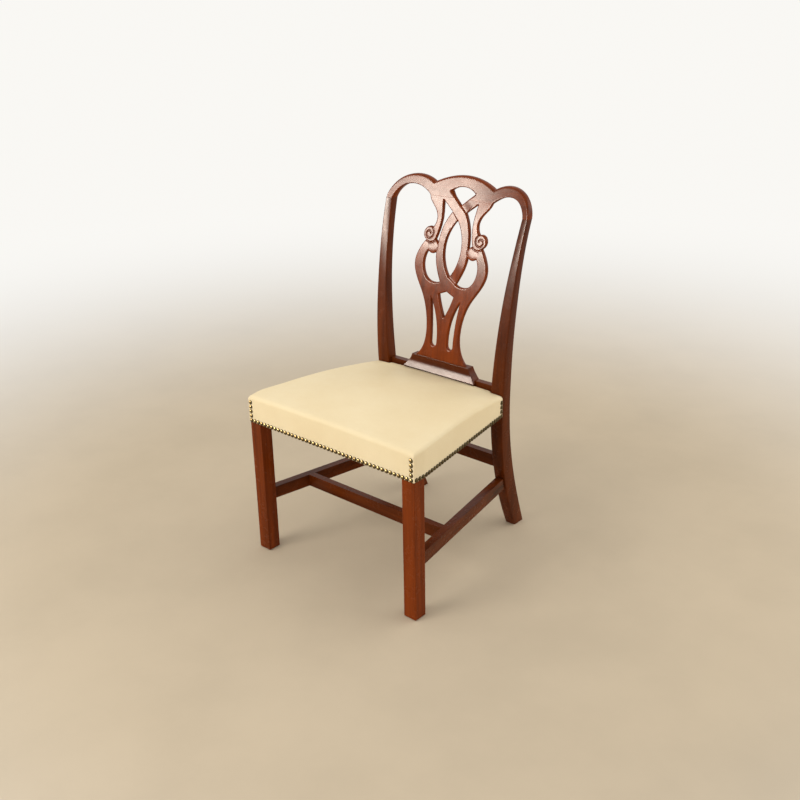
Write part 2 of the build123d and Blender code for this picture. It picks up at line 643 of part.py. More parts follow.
def splat_foot_joint():
    """The tenon under the splat, into the shoe."""
    y = y_at(rake(SHOE_TOP) + SPLAT_THICKNESS / 2)
    plane = Plane((0, y, SHOE_TOP), x_dir=(1, 0, 0), z_dir=(0, 0, -1))
    width = 2 * SPLAT_SIDE[1][0]
    return Joint(plane, width, SPLAT_TENON_THICKNESS, 2 * SPLAT_TENON_LENGTH)


def bent_layer(front, behind):
    """Side view of a layer of the splat, between two depths behind its face."""
    low, high = SHOE_TOP - TENON_ROOT, SPLAT_TOP + TENON_ROOT
    heights = (low, (low + high) / 2, high)
    with BuildSketch(Plane.YZ) as layer:
        with BuildLine():
            near = ThreePointArc(*[(y_at(rake(z) + front), z) for z in heights])
            far = ThreePointArc(*[(y_at(rake(z) + behind), z) for z in heights])
            Line(near @ 1, far @ 1)
            Line(near @ 0, far @ 0)
        make_face()
    return layer.sketch


def strap_pocket(start, start_run, end, end_run):
    """Patch of an under strap beside the edge of the one that crosses it, run out into the piercings."""
    corners = [start, end, (end[0] + end_run[0], end[1] + end_run[1]),
               (start[0] + start_run[0], start[1] + start_run[1])]
    with BuildLine() as patch:
        Polyline(corners, close=True)
    return patch.wires()[0]


with BuildPart() as strap_cuts:
    with BuildSketch(Plane.XZ) as patches:
        run = POCKET_RUN
        make_face(strap_pocket((0, WINDOW_FOOT), (run, run), KNOT_TOP, (run, run / 2)).edges())
        make_face(strap_pocket(mirrored([KNOT_TOP])[0], (-run, -run), (0, EYE_TOP), (-run / 2, -run)).edges())
        make_face(strap_pocket((0, EYE_FOOT), (run / 2, run), KNOT_LOW, (run, run)).edges())
        for side, sign in SIDES:
            start = 90 + sign * CURL_START
            centre = (sign * VOLUTE[0], VOLUTE[1])
            curl = CenterArc(centre, VOLUTE_RADIUS / 2, start, -sign * CURL_SWEEP, mode=Mode.PRIVATE)
            SlotArc(curl, VOLUTE_GROOVE)
    extrude(amount=OVERALL_DEPTH, both=True)
    extrude(bent_layer(-STRAP_CUT, STRAP_CUT), amount=FRONT_WIDTH, both=True, mode=Mode.INTERSECT)

with BuildPart() as splat:
    with BuildSketch(Plane.XZ) as front_view:
        with BuildLine():
            for side, sign in SIDES:
                Spline(flipped(SPLAT_SIDE, sign))
                ThreePointArc(*flipped([on_circle(VOLUTE, VOLUTE_RADIUS, a) for a in VOLUTE_ARC], sign))
                Spline(flipped(SCROLL_OUTER, sign))
                Polyline(flipped([CREST_FORK, (WINDOW_AT_JOINT, SPLAT_TOP), (0, WINDOW_FOOT)], sign))
            Line((-SPLAT_SIDE[0][0], SHOE_TOP), SPLAT_SIDE[0])
        make_face()
        for side, sign in SIDES:
            with BuildLine():
                Line(*flipped([KNOT_TOP, SCROLL_INNER[0]], sign))
                Spline(flipped(SCROLL_INNER, sign))
                ThreePointArc(*flipped([on_circle(BALL, BALL_RADIUS, a) for a in BALL_SHOULDER], sign))
                Spline(flipped(STRAP_SIDE, sign))
            make_face(mode=Mode.SUBTRACT)
            with BuildLine():
                Spline(flipped(STRAP_TAIL, sign))
                Spline(flipped(RING_INNER, sign))
                ThreePointArc(*flipped([on_circle(BALL, BALL_RADIUS, a) for a in BALL_UNDER], sign))
            make_face(mode=Mode.SUBTRACT)
            with BuildLine():
                ThreePointArc(*flipped([SLOT_LEFT, SLOT_INNER, SLOT_TIP], sign))
                ThreePointArc(*flipped([SLOT_RIGHT, SLOT_OUTER, SLOT_TIP], sign))
                ThreePointArc(*flipped([SLOT_LEFT, SLOT_FOOT, SLOT_RIGHT], sign))
            make_face(mode=Mode.SUBTRACT)
        with BuildLine():
            for side, sign in SIDES:
                ThreePointArc(*flipped([(0, EYE_TOP), EYE_SIDE, (0, EYE_FOOT)], sign))
        make_face(mode=Mode.SUBTRACT)
        with BuildLine():
            for side, sign in SIDES:
                Spline(flipped([(0, ARCH_FOOT), ARCH_FLANK, ARCH_CORNER], sign))
            Polyline((-ARCH_CORNER[0], ARCH_CORNER[1]), (0, ARCH_TOP), ARCH_CORNER)
        make_face(mode=Mode.SUBTRACT)
    extrude(amount=OVERALL_DEPTH, both=True)
    extrude(bent_layer(0, SPLAT_THICKNESS), amount=FRONT_WIDTH, both=True, mode=Mode.INTERSECT)
    add(strap_cuts.part, mode=Mode.SUBTRACT)
    tenon(splat_foot_joint())
    for side, sign in SIDES:
        tenon(splat_top_joint(sign))
splat.part.label = "splat"
export_step(splat.part, "parts/splat.step")

# Shoe: coved in front and at both ends, rebated over the top edge of the rear rail
with BuildPart() as shoe:
    face = REAR_UPRIGHT - SHOE_PROUD
    top_front = rake(SHOE_TOP) - SHOE_MARGIN
    back_face = REAR_RAIL_BACK + SHOE_MARGIN
    cove = SHOE_LEDGE + (SHOE_TOP - SHOE_LEDGE) / 3
    with BuildSketch(Plane.YZ) as side_view:
        with BuildLine():
            hollow = ThreePointArc((y_at(face + SHOE_MARGIN), SHOE_LEDGE),
                                   (y_at(top_front - SHOE_MARGIN), cove), (y_at(top_front), SHOE_TOP))
            Polyline(hollow @ 1, (y_at(back_face), SHOE_TOP), (y_at(back_face), REAR_RAIL_TOP),
                     (y_at(REAR_UPRIGHT), REAR_RAIL_TOP), (y_at(REAR_UPRIGHT), SHOE_BOTTOM),
                     (y_at(face), SHOE_BOTTOM), (y_at(face), SHOE_LEDGE), hollow @ 0)
        make_face()
    extrude(amount=SHOE_BASE_WIDTH / 2, both=True)
    base, crown = SHOE_BASE_WIDTH / 2, SHOE_TOP_WIDTH / 2
    with BuildSketch(Plane.XZ) as front_view:
        with BuildLine():
            for side, sign in SIDES:
                ThreePointArc(*flipped([(base - SHOE_MARGIN, SHOE_LEDGE), (crown + 2 * SHOE_MARGIN, cove),
                                        (crown, SHOE_TOP)], sign))
                Polyline(flipped([(base - SHOE_MARGIN, SHOE_LEDGE), (base, SHOE_LEDGE), (base, SHOE_BOTTOM),
                                  (0, SHOE_BOTTOM)], sign))
            Line((-crown, SHOE_TOP), (crown, SHOE_TOP))
        make_face()
    extrude(amount=OVERALL_DEPTH, both=True, mode=Mode.INTERSECT)
    mortise(splat_foot_joint())
shoe.part.label = "splat_shoe"
export_step(shoe.part, "parts/splat_shoe.step")

# Corner blocks and their screws
for place, front in (("front", True), ("rear", False)):
    for side, sign in SIDES:
        with BuildPart() as corner_block:
            with BuildSketch(Plane.XY.offset(BLOCK_BOTTOM)) as plan:
                with BuildLine():
                    Polyline(block_corners(sign, front), close=True)
                make_face()
            extrude(amount=BLOCK_TOP - BLOCK_BOTTOM)
            screw_hole(sign, front)
        corner_block.part.label = f"corner_block_{place}_{side}"
        export_step(corner_block.part, f"parts/corner_block_{place}_{side}.step")

with BuildPart() as screws:
    for front in (True, False):
        for side, sign in SIDES:
            plane = screw_plane(sign, front)
            with Locations(plane):
                Cylinder(SCREW_DIAMETER / 2, SCREW_LENGTH, align=TENON_ALIGN)
            with Locations(plane.offset(-SCREW_HEAD_RISE)):
                Cylinder(SCREW_HEAD / 2, SCREW_HEAD_RISE, align=TENON_ALIGN)
screws.part.label = "corner_block_screws"
export_step(screws.part, "parts/corner_block_screws.step")


# Seat: straps and cloth on the sloping deck, then the pad and the leather round it
PAD_BOTTOM = 2 * WEB_THICKNESS + HESSIAN_THICKNESS


def deck_layer(near, far, bottom, top, x=0):
    """Side view, at an X, of a flat layer between two depths and two heights over the deck."""
    with BuildSketch(Plane.YZ.offset(x)) as layer:
        with BuildLine():
            Polyline((y_at(near), deck(near) + bottom), (y_at(far), deck(far) + bottom),
                     (y_at(far), deck(far) + top), (y_at(near), deck(near) + top), close=True)
        make_face()
    return layer.sketch


def seat_plan(inset):
    """Plan of the seat at an inset from the leather's outer face, notched round the posts."""
    proud = COVER_THICKNESS - inset
    back_depth = SEAT_DEPTH - FOAM_GAP - inset
    notch_depth = REAR_UPRIGHT - FOAM_GAP - inset
    notch_x = inner_x(DECK_BACK) - 2 * FOAM_GAP - inset
    right = [(LEG_X + proud, y_at(-proud)), (LEG_X + proud, y_at(LEG)),
             (rail_x(back_depth) + proud, y_at(back_depth)),
             (notch_x, y_at(back_depth)), (notch_x, y_at(notch_depth))]
    return right + mirrored(right)


def edge_x(depth):
    """Half width of the seat at a depth."""
    return min(LEG_X, rail_x(depth))


def seat_body(inset, bottom):
    """Crowned block with the seat's plan, its top edges rounded in front and at the sides."""
    half = FRONT_WIDTH / 2 + RAIL_THICKNESS
    with BuildPart() as body:
        with BuildSketch(Plane.XY.offset(bottom)):
            with BuildLine():
                Polyline(seat_plan(inset), close=True)
            make_face()
        extrude(amount=OVERALL_HEIGHT - bottom)
        for depth, crown, edge in CROWN_STATIONS:
            side_height = crown - (crown - edge) * (half / edge_x(depth)) ** 2 - inset
            with BuildSketch(Plane.XZ.offset(-y_at(depth))):
                with BuildLine():
                    top = ThreePointArc((-half, side_height), (0, crown - inset), (half, side_height))
                    Polyline(top @ 1, (half, bottom), (-half, bottom), top @ 0)
                make_face()
        loft(mode=Mode.INTERSECT)
        rim = body.faces().sort_by(Axis.Z)[-1].edges()
        rim = rim.filter_by_position(Axis.Y, y_at(-LEG), y_at(SEAT_DEPTH - LEG))
        chamfer(rim, COVER_EDGE_ROUND - inset)
    return body.part


with BuildPart() as webbing_lengthwise:
    for place in range(STRAPS_LENGTHWISE):
        x = (place - (STRAPS_LENGTHWISE - 1) / 2) * STRAP_SPACING
        strap = deck_layer(STRAP_END_INSET, REAR_UPRIGHT - STRAP_END_INSET, 0, WEB_THICKNESS, x)
        extrude(strap, amount=WEB_WIDTH / 2, both=True)
webbing_lengthwise.part.label = "webbing_lengthwise"
export_step(webbing_lengthwise.part, "parts/webbing_lengthwise.step")

with BuildPart() as webbing_crosswise:
    for place in range(STRAPS_CROSSWISE):
        near = FIRST_STRAP_DEPTH + place * STRAP_SPACING - WEB_WIDTH / 2
        strap = deck_layer(near, near + WEB_WIDTH, WEB_THICKNESS, 2 * WEB_THICKNESS)
        extrude(strap, amount=rail_x(near + WEB_WIDTH) - STRAP_END_INSET, both=True)
webbing_crosswise.part.label = "webbing_crosswise"
export_step(webbing_crosswise.part, "parts/webbing_crosswise.step")

with BuildPart() as hessian:
    with BuildSketch() as plan:
        with BuildLine():
            Polyline(seat_plan(HESSIAN_INSET), close=True)
        make_face()
    extrude(amount=OVERALL_HEIGHT)
    cloth = deck_layer(-LEG, SEAT_DEPTH + LEG, 2 * WEB_THICKNESS, PAD_BOTTOM)
    extrude(cloth, amount=FRONT_WIDTH, both=True, mode=Mode.INTERSECT)
hessian.part.label = "hessian"
export_step(hessian.part, "parts/hessian.step")

with BuildPart() as seat_foam:
    add(seat_body(COVER_THICKNESS + FOAM_GAP, COVER_BOTTOM))
    under_pad = deck_layer(-LEG, SEAT_DEPTH + LEG, -OVERALL_HEIGHT, PAD_BOTTOM)
    extrude(under_pad, amount=FRONT_WIDTH, both=True, mode=Mode.SUBTRACT)
seat_foam.part.label = "seat_foam"
export_step(seat_foam.part, "parts/seat_foam.step")

with BuildPart() as seat_cover:
    add(seat_body(0, COVER_BOTTOM))
    add(seat_body(COVER_THICKNESS, COVER_BOTTOM), mode=Mode.SUBTRACT)
    turned = deck_layer(SEAT_DEPTH - LEG, SEAT_DEPTH + LEG, -OVERALL_HEIGHT, PAD_BOTTOM)
    extrude(turned, amount=rail_x(SEAT_DEPTH - FOAM_GAP - COVER_THICKNESS), both=True, mode=Mode.SUBTRACT)
seat_cover.part.label = "seat_cover"
export_step(seat_cover.part, "parts/seat_cover.step")


# Nails on the leather: a close row along the lower edge and short upright rows at the corners
def nail_row(start, end, height):
    """Points of a row of nails at a height, spread evenly near the pitch."""
    count = round(abs(end - start) / NAIL_PITCH)
    return [(start + (end - start) * place / count, height) for place in range(count + 1)]


def upright_nails(x, count):
    """Points of a short upright row over the nail at one end of a long row."""
    return [(x, NAIL_LINE + NAIL_PITCH * place) for place in range(1, count + 1)]


with BuildPart() as nail_head:
    with BuildSketch():
        RegularPolygon(NAIL_DIAMETER / 2, NAIL_SIDES)
    extrude(amount=NAIL_RISE)
    chamfer(nail_head.faces().sort_by(Axis.Z)[-1].edges(), NAIL_EASE)


def nail_heads(plane, points):
    """Add low eight-sided nail heads at points of a plane on the leather."""
    with Locations(plane):
        with Locations(*points):
            add(nail_head.part)


with BuildPart() as nails_front:
    plane = Plane((0, y_at(-COVER_THICKNESS), 0), x_dir=(1, 0, 0), z_dir=(0, -1, 0))
    reach = LEG_X - NAIL_INSET
    points = nail_row(-reach, reach, NAIL_LINE)
    for side, sign in SIDES:
        points += upright_nails(sign * reach, FRONT_CORNER_COUNT)
    nail_heads(plane, points)
nails_front.part.label = "nails_front"
export_step(nails_front.part, "parts/nails_front.step")

for side, sign in SIDES:
    with BuildPart() as nails_side:
        x = sign * (LEG_X + COVER_THICKNESS)
        along = Vector(sign * (RAIL_BACK_X - LEG_X), SEAT_DEPTH - LEG).normalized()
        leg_plane = Plane((x, y_at(LEG), 0), x_dir=(0, sign, 0), z_dir=(sign, 0, 0))
        rail_plane = Plane((x, y_at(LEG), 0), x_dir=along * sign, z_dir=(sign * along.Y, -sign * along.X, 0))
        length = hypot(RAIL_BACK_X - LEG_X, SEAT_DEPTH - LEG)
        on_leg = nail_row(sign * (NAIL_INSET - LEG), -sign * NAIL_PITCH / 2, NAIL_LINE)
        on_rail = nail_row(sign * NAIL_PITCH / 2, sign * (length - NAIL_INSET), NAIL_LINE)
        nail_heads(leg_plane, on_leg)
        nail_heads(rail_plane, on_rail + upright_nails(on_rail[-1][0], BACK_CORNER_COUNT))
    nails_side.part.label = f"nails_{side}"
    export_step(nails_side.part, f"parts/nails_{side}.step")
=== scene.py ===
"""Looks of a mahogany side chair with a pierced, interlaced splat and a nailed cream leather seat.

Everything is in metres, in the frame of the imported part: +Z up, the sitter faces -Y, the floor is Z = 0.
"""
import logging
import math
from collections.abc import Callable
from dataclasses import dataclass
from enum import Enum

import bmesh
import bpy
import numpy as np
from mathutils import Matrix


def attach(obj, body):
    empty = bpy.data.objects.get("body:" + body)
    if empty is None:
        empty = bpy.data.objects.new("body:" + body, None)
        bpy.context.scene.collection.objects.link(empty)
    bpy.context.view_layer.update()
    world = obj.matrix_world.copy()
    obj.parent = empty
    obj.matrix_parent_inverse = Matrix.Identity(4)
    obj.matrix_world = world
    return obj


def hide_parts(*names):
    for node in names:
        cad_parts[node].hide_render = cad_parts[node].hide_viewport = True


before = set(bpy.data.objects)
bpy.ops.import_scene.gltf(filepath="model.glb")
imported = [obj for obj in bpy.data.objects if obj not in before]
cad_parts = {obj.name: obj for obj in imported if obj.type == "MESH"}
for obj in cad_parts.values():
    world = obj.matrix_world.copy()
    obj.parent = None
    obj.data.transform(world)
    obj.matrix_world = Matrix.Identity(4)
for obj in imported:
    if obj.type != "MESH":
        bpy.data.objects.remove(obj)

LOG = logging.getLogger("side_chair")
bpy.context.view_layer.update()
FRONT_Y = -0.2905
FRONT_HALF = 0.2825
LEG = 0.038
SEAT_DEPTH = 0.435
RAIL_BACK_HALF = 0.21756
COVER_BOTTOM = 0.381
NAIL_LINE = 0.387
TINY = 1e-9
BLACK = (0.0, 0.0, 0.0, 1.0)
Array = np.ndarray
Socket = bpy.types.NodeSocket


class Grain(Enum):
    """Direction that the grain of a wooden piece runs, as the turn that brings it upright."""

    ACROSS = (0.0, -math.pi / 2, 0.0)
    DEEP = (math.pi / 2, 0.0, 0.0)
    UPRIGHT = (0.0, 0.0, 0.0)


class Weave(Enum):
    """Cloth under the seat, as threads per metre along and across."""

    WEBBING = (520.0, 420.0)
    HESSIAN = (430.0, 430.0)


def smooth_step(low: float, high: float, value: Array) -> Array:
    """Rise from 0 at low to 1 at high with level ends.

    Args:
        low: Value where the rise starts.
        high: Value where it is complete.
        value: Values to place on the rise.

    Returns:
        3t^2 - 2t^3 of the clipped share t of the way from low to high.
    """
    share = np.clip((value - low) / (high - low), 0.0, 1.0)
    return share * share * (3.0 - 2.0 * share)


def round_over(distance: Array, radius: Array | float) -> Array:
    """Depth cut away at a distance from an edge that has a quarter-round.

    Args:
        distance: Distance in from the edge.
        radius: Radius of the quarter-round.

    Returns:
        r - sqrt(r^2 - (r - d)^2) inside the radius, and 0 beyond it.
    """
    short = np.clip(radius - distance, 0.0, radius)
    return radius - np.sqrt(np.maximum(radius * radius - short * short, 0.0))


def grid_faces(rows: int, columns: int, first: int = 0) -> Array:
    """Quads of a grid of vertices stored row by row.

    Args:
        rows: Number of rows of vertices.
        columns: Number of vertices in a row.
        first: Index of the grid's first vertex.

    Returns:
        Array of four indices for each quad.
    """
    index = first + np.arange(rows * columns).reshape(rows, columns)
    return np.stack([index[:-1, :-1], index[:-1, 1:], index[1:, 1:], index[1:, :-1]], -1).reshape(-1, 4)


def wall_faces(rings: int, columns: int) -> Array:
    """Quads round a stack of closed rings of vertices.

    Args:
        rings: Number of rings.
        columns: Number of vertices in a ring.

    Returns:
        Array of four indices for each quad, ring by ring.
    """
    ring = np.arange(columns)
    after = np.roll(ring, -1)
    wall = np.stack([ring, after, after + columns, ring + columns], axis=1)
    return (wall[None] + columns * np.arange(rings - 1)[:, None, None]).reshape(-1, 4)


def tube_faces(rings: int, columns: int) -> list:
    """Quads round a stack of closed rings, with a flat face over each end.

    Args:
        rings: Number of rings.
        columns: Number of vertices in a ring.

    Returns:
        Index lists of the walls, of the first ring and of the last.
    """
    ring = np.arange(columns)
    ends = [ring[::-1].tolist(), (ring + columns * (rings - 1)).tolist()]
    return wall_faces(rings, columns).tolist() + ends


def join_grids(grids: list) -> tuple[Array, list]:
    """Put grids of points into one list of vertices.

    Args:
        grids: Grids of points, each rows by columns by three.

    Returns:
        All the points, and the quads of all the grids.
    """
    faces, first = [], 0
    for grid in grids:
        faces += grid_faces(grid.shape[0], grid.shape[1], first).tolist()
        first += grid.shape[0] * grid.shape[1]
    return np.concatenate([grid.reshape(-1, 3) for grid in grids]), faces


def make_object(name: str, vertices: Array, faces: list) -> bpy.types.Object:
    """Put a mesh of arrays into a new object at the origin.

    Args:
        name: Name of the piece.
        vertices: Points, three coordinates each.
        faces: Index lists, three or more each.

    Returns:
        The object, smooth shaded.
    """
    mesh = bpy.data.meshes.new(name)
    mesh.from_pydata(vertices.tolist(), [], faces)
    mesh.polygons.foreach_set("use_smooth", np.ones(len(mesh.polygons), dtype=bool))
    mesh.update()
    piece = bpy.data.objects.new(name, mesh)
    bpy.context.scene.collection.objects.link(piece)
    return piece


def coordinates(mesh: bpy.types.Mesh) -> Array:
    """Places of a mesh's vertices, three coordinates each."""
    points = np.empty(len(mesh.vertices) * 3)
    mesh.vertices.foreach_get("co", points)
    return points.reshape(-1, 3)


def mark_sharp(piece: bpy.types.Object, *marks: Array) -> None:
    """Keep the edges of a smooth piece sharp where one mark holds at both ends.

    Args:
        piece: Object whose edges are marked.
        marks: True or False for each vertex.
    """
    ends = np.empty(len(piece.data.edges) * 2, dtype=np.int64)
    piece.data.edges.foreach_get("vertices", ends)
    sharp = np.any([mark[ends.reshape(-1, 2)].all(axis=1) for mark in marks], axis=0)
    piece.data.attributes.new("sharp_edge", "BOOLEAN", "EDGE").data.foreach_set("value", sharp)


def weld(piece: bpy.types.Object, gap: float) -> None:
    """Merge the vertices of a piece that lie within a gap, and turn its faces outwards.

    Args:
        piece: Object whose mesh is changed.
        gap: Largest distance that is merged.
    """
    shape = bmesh.new()
    shape.from_mesh(piece.data)
    bmesh.ops.remove_doubles(shape, verts=shape.verts, dist=gap)
    bmesh.ops.recalc_face_normals(shape, faces=shape.faces)
    shape.to_mesh(piece.data)
    shape.free()


def settle(piece: bpy.types.Object, slot: str, material: bpy.types.Material, *nodes: str) -> None:
    """Dress a finished piece, let it stand for CAD nodes and log it.

    Args:
        piece: Object that is finished.
        slot: Material slot of the record; it is not used.
        material: Finish of the piece.
        nodes: CAD nodes that it stands for.
    """
    piece.data.materials.clear()
    piece.data.materials.append(material)
    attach(piece, "root")
    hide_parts(*nodes)
    LOG.info("%s: %d faces, stands for %s", piece.name, len(piece.data.polygons), ", ".join(nodes))


def finish_node(node: str, material: bpy.types.Material) -> None:
    """Give a kept CAD node its material.

    Args:
        node: Name of the node.
        material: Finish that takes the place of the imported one.
    """
    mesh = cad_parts[node].data
    mesh.materials.clear()
    mesh.materials.append(material)
    LOG.info("%s: kept from CAD in %s", node, material.name)


class Tree:
    """Short hand for adding nodes to a material or a node group."""

    def __init__(self, tree: bpy.types.NodeTree) -> None:
        """Take the tree that nodes are added to."""
        self.tree = tree

    def add(self, kind: str, settings: dict | None = None, **inputs: object) -> bpy.types.Node:
        """Add a node.

        Args:
            kind: Blender's name of the kind of node.
            settings: Properties of the node.
            inputs: Sockets by name, with underscores for spaces, or by i and a number.

        Returns:
            The node, with each input linked or set.
        """
        node = self.tree.nodes.new(kind)
        for key, value in (settings or {}).items():
            setattr(node, key, value)
        for key, value in inputs.items():
            numbered = key[0] == "i" and key[1:].isdigit()
            socket = node.inputs[int(key[1:])] if numbered else node.inputs[key.replace("_", " ")]
            if isinstance(value, bpy.types.NodeSocket):
                self.tree.links.new(value, socket)
            else:
                socket.default_value = value
        return node

    def math(self, operation: str, first: object, second: object = 0.0) -> Socket:
        """Add a Math node and return its output."""
        return self.add("ShaderNodeMath", {"operation": operation}, i0=first, i1=second).outputs[0]

    def times(self, first: object, second: object) -> Socket:
        """Multiply two values."""
        return self.math("MULTIPLY", first, second)

    def plus(self, first: object, second: object) -> Socket:
        """Add two values."""
        return self.math("ADD", first, second)

    def mix(self, share: object, first: object, second: object) -> Socket:
        """Add a colour Mix node and return its output."""
        return self.add("ShaderNodeMix", {"data_type": "RGBA"}, i0=share, i6=first, i7=second).outputs[2]

    def ramp(self, value: Socket, low: float, high: float) -> Socket:
        """Add a Map Range node that rises smoothly from 0 at low to 1 at high and return its output."""
        settings = {"interpolation_type": "SMOOTHSTEP"}
        return self.add("ShaderNodeMapRange", settings, Value=value, From_Min=low, From_Max=high).outputs[0]

    def noise(self, vector: Socket, scale: object, detail: float, roughness: float = 0.5) -> Socket:
        """Add a Noise Texture and return its value."""
        levels = {"Scale": scale, "Detail": detail, "Roughness": roughness}
        return self.add("ShaderNodeTexNoise", Vector=vector, **levels).outputs[0]

    def stretch(self, vector: Socket, scale: tuple, turn: tuple = (0.0, 0.0, 0.0)) -> Socket:
        """Add a Mapping node that turns and scales a vector and return its output."""
        return self.add("ShaderNodeMapping", Vector=vector, Rotation=turn, Scale=scale).outputs[0]

    def drawn(self, vector: Socket, across: float, along: float, detail: float, rough: float = 0.5) -> Socket:
        """Add noise that is drawn out along Z and return its value."""
        return self.noise(self.stretch(vector, (across, across, along)), 1.0, detail, rough)

    def group(self, made: bpy.types.NodeTree, **inputs: object) -> bpy.types.bpy_prop_collection:
        """Place a node group and return its outputs."""
        return self.add("ShaderNodeGroup", {"node_tree": made}, **inputs).outputs

    def bump(self, height: Socket, strength: float, distance: float, **normal: Socket) -> Socket:
        """Add a Bump node, over a Normal where one is given, and return its output."""
        levels = {"Strength": strength, "Distance": distance}
        return self.add("ShaderNodeBump", Height=height, **levels, **normal).outputs[0]

    def feed(self, node: bpy.types.Node, **values: Socket) -> None:
        """Link values to a node's sockets by name, with underscores for spaces."""
        for key, value in values.items():
            self.tree.links.new(value, node.inputs[key.replace("_", " ")])


def new_group(name: str, inputs: dict, outputs: dict) -> tuple[Tree, dict, bpy.types.Node]:
    """Start a shader node group.

    Args:
        name: Name of the group.
        inputs: Socket kinds by name, such as Vector or Float.
        outputs: The same for what the group puts out.

    Returns:
        The group's tree, its input sockets by name and its output node.
    """
    group = bpy.data.node_groups.new(name, "ShaderNodeTree")
    for side, sockets in (("INPUT", inputs), ("OUTPUT", outputs)):
        for key, kind in sockets.items():
            group.interface.new_socket(key, in_out=side, socket_type=f"NodeSocket{kind}")
    tree = Tree(group)
    given = tree.add("NodeGroupInput").outputs
    return tree, {key: given[key] for key in inputs}, tree.add("NodeGroupOutput")


def figure_group() -> bpy.types.NodeTree:
    """Grain of a board that stands upright: rings seen as long streaks, fibre and pores.

    Returns:
        Group that puts out Tone, the light and dark of the figure, Pores and Height.
    """
    inputs = {"Vector": "Vector", "Streak": "Float", "Pore": "Float"}
    outputs = {"Tone": "Float", "Pores": "Float", "Height": "Float"}
    tree, given, out = new_group("wood figure", inputs, outputs)
    drift = tree.drawn(given["Vector"], 5.0, 1.1, 3.0)
    shift = tree.add("ShaderNodeCombineXYZ", X=tree.times(drift, 0.05), Y=tree.times(drift, 0.03)).outputs[0]
    bent = tree.add("ShaderNodeVectorMath", {"operation": "ADD"}, i0=given["Vector"], i1=shift).outputs[0]
    streak = tree.drawn(bent, 70.0, 2.2, 5.0, 0.6)
    band = tree.drawn(bent, 19.0, 0.8, 3.0)
    fibre = tree.drawn(bent, 420.0, 14.0, 2.0)
    ribbon = tree.drawn(bent, 9.0, 5.5, 2.0)
    dash = tree.drawn(bent, 900.0, 42.0, 1.0)
    mixed = tree.plus(tree.times(streak, given["Streak"]), tree.times(band, 0.45))
    mixed = tree.plus(mixed, tree.times(ribbon, 0.22))
    mixed = tree.plus(mixed, tree.times(fibre, 0.12))
    pores = tree.times(tree.ramp(dash, 0.63, 0.7), given["Pore"])
    height = tree.math("SUBTRACT", tree.times(fibre, 0.25), pores)
    tree.feed(out, Tone=tree.ramp(mixed, 0.3, 0.95), Pores=pores, Height=height)
    return tree.tree


def wear_group() -> bpy.types.NodeTree:
    """Softened arrises: a broken mask where the finish is rubbed, and a rounded normal.

    Returns:
        Group that puts out Rubbed and Normal.
    """
    inputs = {"Vector": "Vector", "Radius": "Float", "Patches": "Float"}
    tree, given, out = new_group("worn arris", inputs, {"Rubbed": "Float", "Normal": "Vector"})
    soft = tree.add("ShaderNodeBevel", {"samples": 6}, Radius=given["Radius"]).outputs[0]
    true = tree.add("ShaderNodeNewGeometry").outputs["True Normal"]
    same = tree.add("ShaderNodeVectorMath", {"operation": "DOT_PRODUCT"}, i0=soft, i1=true).outputs["Value"]
    edge = tree.ramp(tree.math("SUBTRACT", 1.0, same), 0.03, 0.25)
    rough = tree.noise(given["Vector"], 38.0, 6.0, 0.7)
    broken = tree.ramp(tree.plus(rough, given["Patches"]), 0.62, 0.74)
    tree.feed(out, Rubbed=tree.times(edge, broken), Normal=soft)
    return tree.tree


def mottle_group() -> bpy.types.NodeTree:
    """Slow change of tone over a surface, with a finer speckle.

    Returns:
        Group that puts out Broad and Fine.
    """
    inputs = {"Vector": "Vector", "Scale": "Float"}
    tree, given, out = new_group("mottle", inputs, {"Broad": "Float", "Fine": "Float"})
    broad = tree.noise(given["Vector"], given["Scale"], 3.0)
    fine = tree.noise(given["Vector"], tree.times(given["Scale"], 9.0), 5.0, 0.65)
    tree.feed(out, Broad=tree.ramp(broad, 0.3, 0.7), Fine=tree.ramp(fine, 0.3, 0.7))
    return tree.tree


def weave_group() -> bpy.types.NodeTree:
    """Plain weave: round threads both ways, each over and under the other by turns.

    Returns:
        Group that puts out Height and Gap.
    """
    inputs = {"Vector": "Vector", "Along": "Float", "Across": "Float"}
    tree, given, out = new_group("plain weave", inputs, {"Height": "Float", "Gap": "Float"})
    split = tree.add("ShaderNodeSeparateXYZ", Vector=given["Vector"]).outputs
    along = tree.times(split[0], tree.times(given["Along"], math.pi))
    across = tree.times(split[1], tree.times(given["Across"], math.pi))
    warp, weft = tree.math("SINE", along), tree.math("SINE", across)
    body = tree.math("MAXIMUM", tree.math("ABSOLUTE", warp), tree.math("ABSOLUTE", weft))
    height = tree.plus(body, tree.times(tree.times(warp, weft), 0.5))
    tree.feed(out, Height=height, Gap=tree.math("SUBTRACT", 1.0, tree.ramp(body, 0.25, 0.75)))
    return tree.tree


@dataclass(frozen=True)
class Effects:
    """Node groups that the finishes share."""

    figure: bpy.types.NodeTree
    wear: bpy.types.NodeTree
    mottle: bpy.types.NodeTree
    weave: bpy.types.NodeTree

    @classmethod
    def build(cls) -> "Effects":
        """Make each group once."""
        return cls(figure_group(), wear_group(), mottle_group(), weave_group())


def start_material(name: str, **constants: object) -> tuple[bpy.types.Material, Tree, bpy.types.Node, Socket]:
    """Start a material on a Principled BSDF.

    Args:
        name: Name of the finish.
        constants: Sockets of the shader that are the same all over.

    Returns:
        The material, its tree, the shader and the Object coordinates.
    """
    material = bpy.data.materials.new(name)
    material.use_nodes = True
    tree = Tree(material.node_tree)
    shader = material.node_tree.nodes["Principled BSDF"]
    for key, value in constants.items():
        shader.inputs[key.replace("_", " ")].default_value = value
    return material, tree, shader, tree.add("ShaderNodeTexCoord").outputs["Object"]


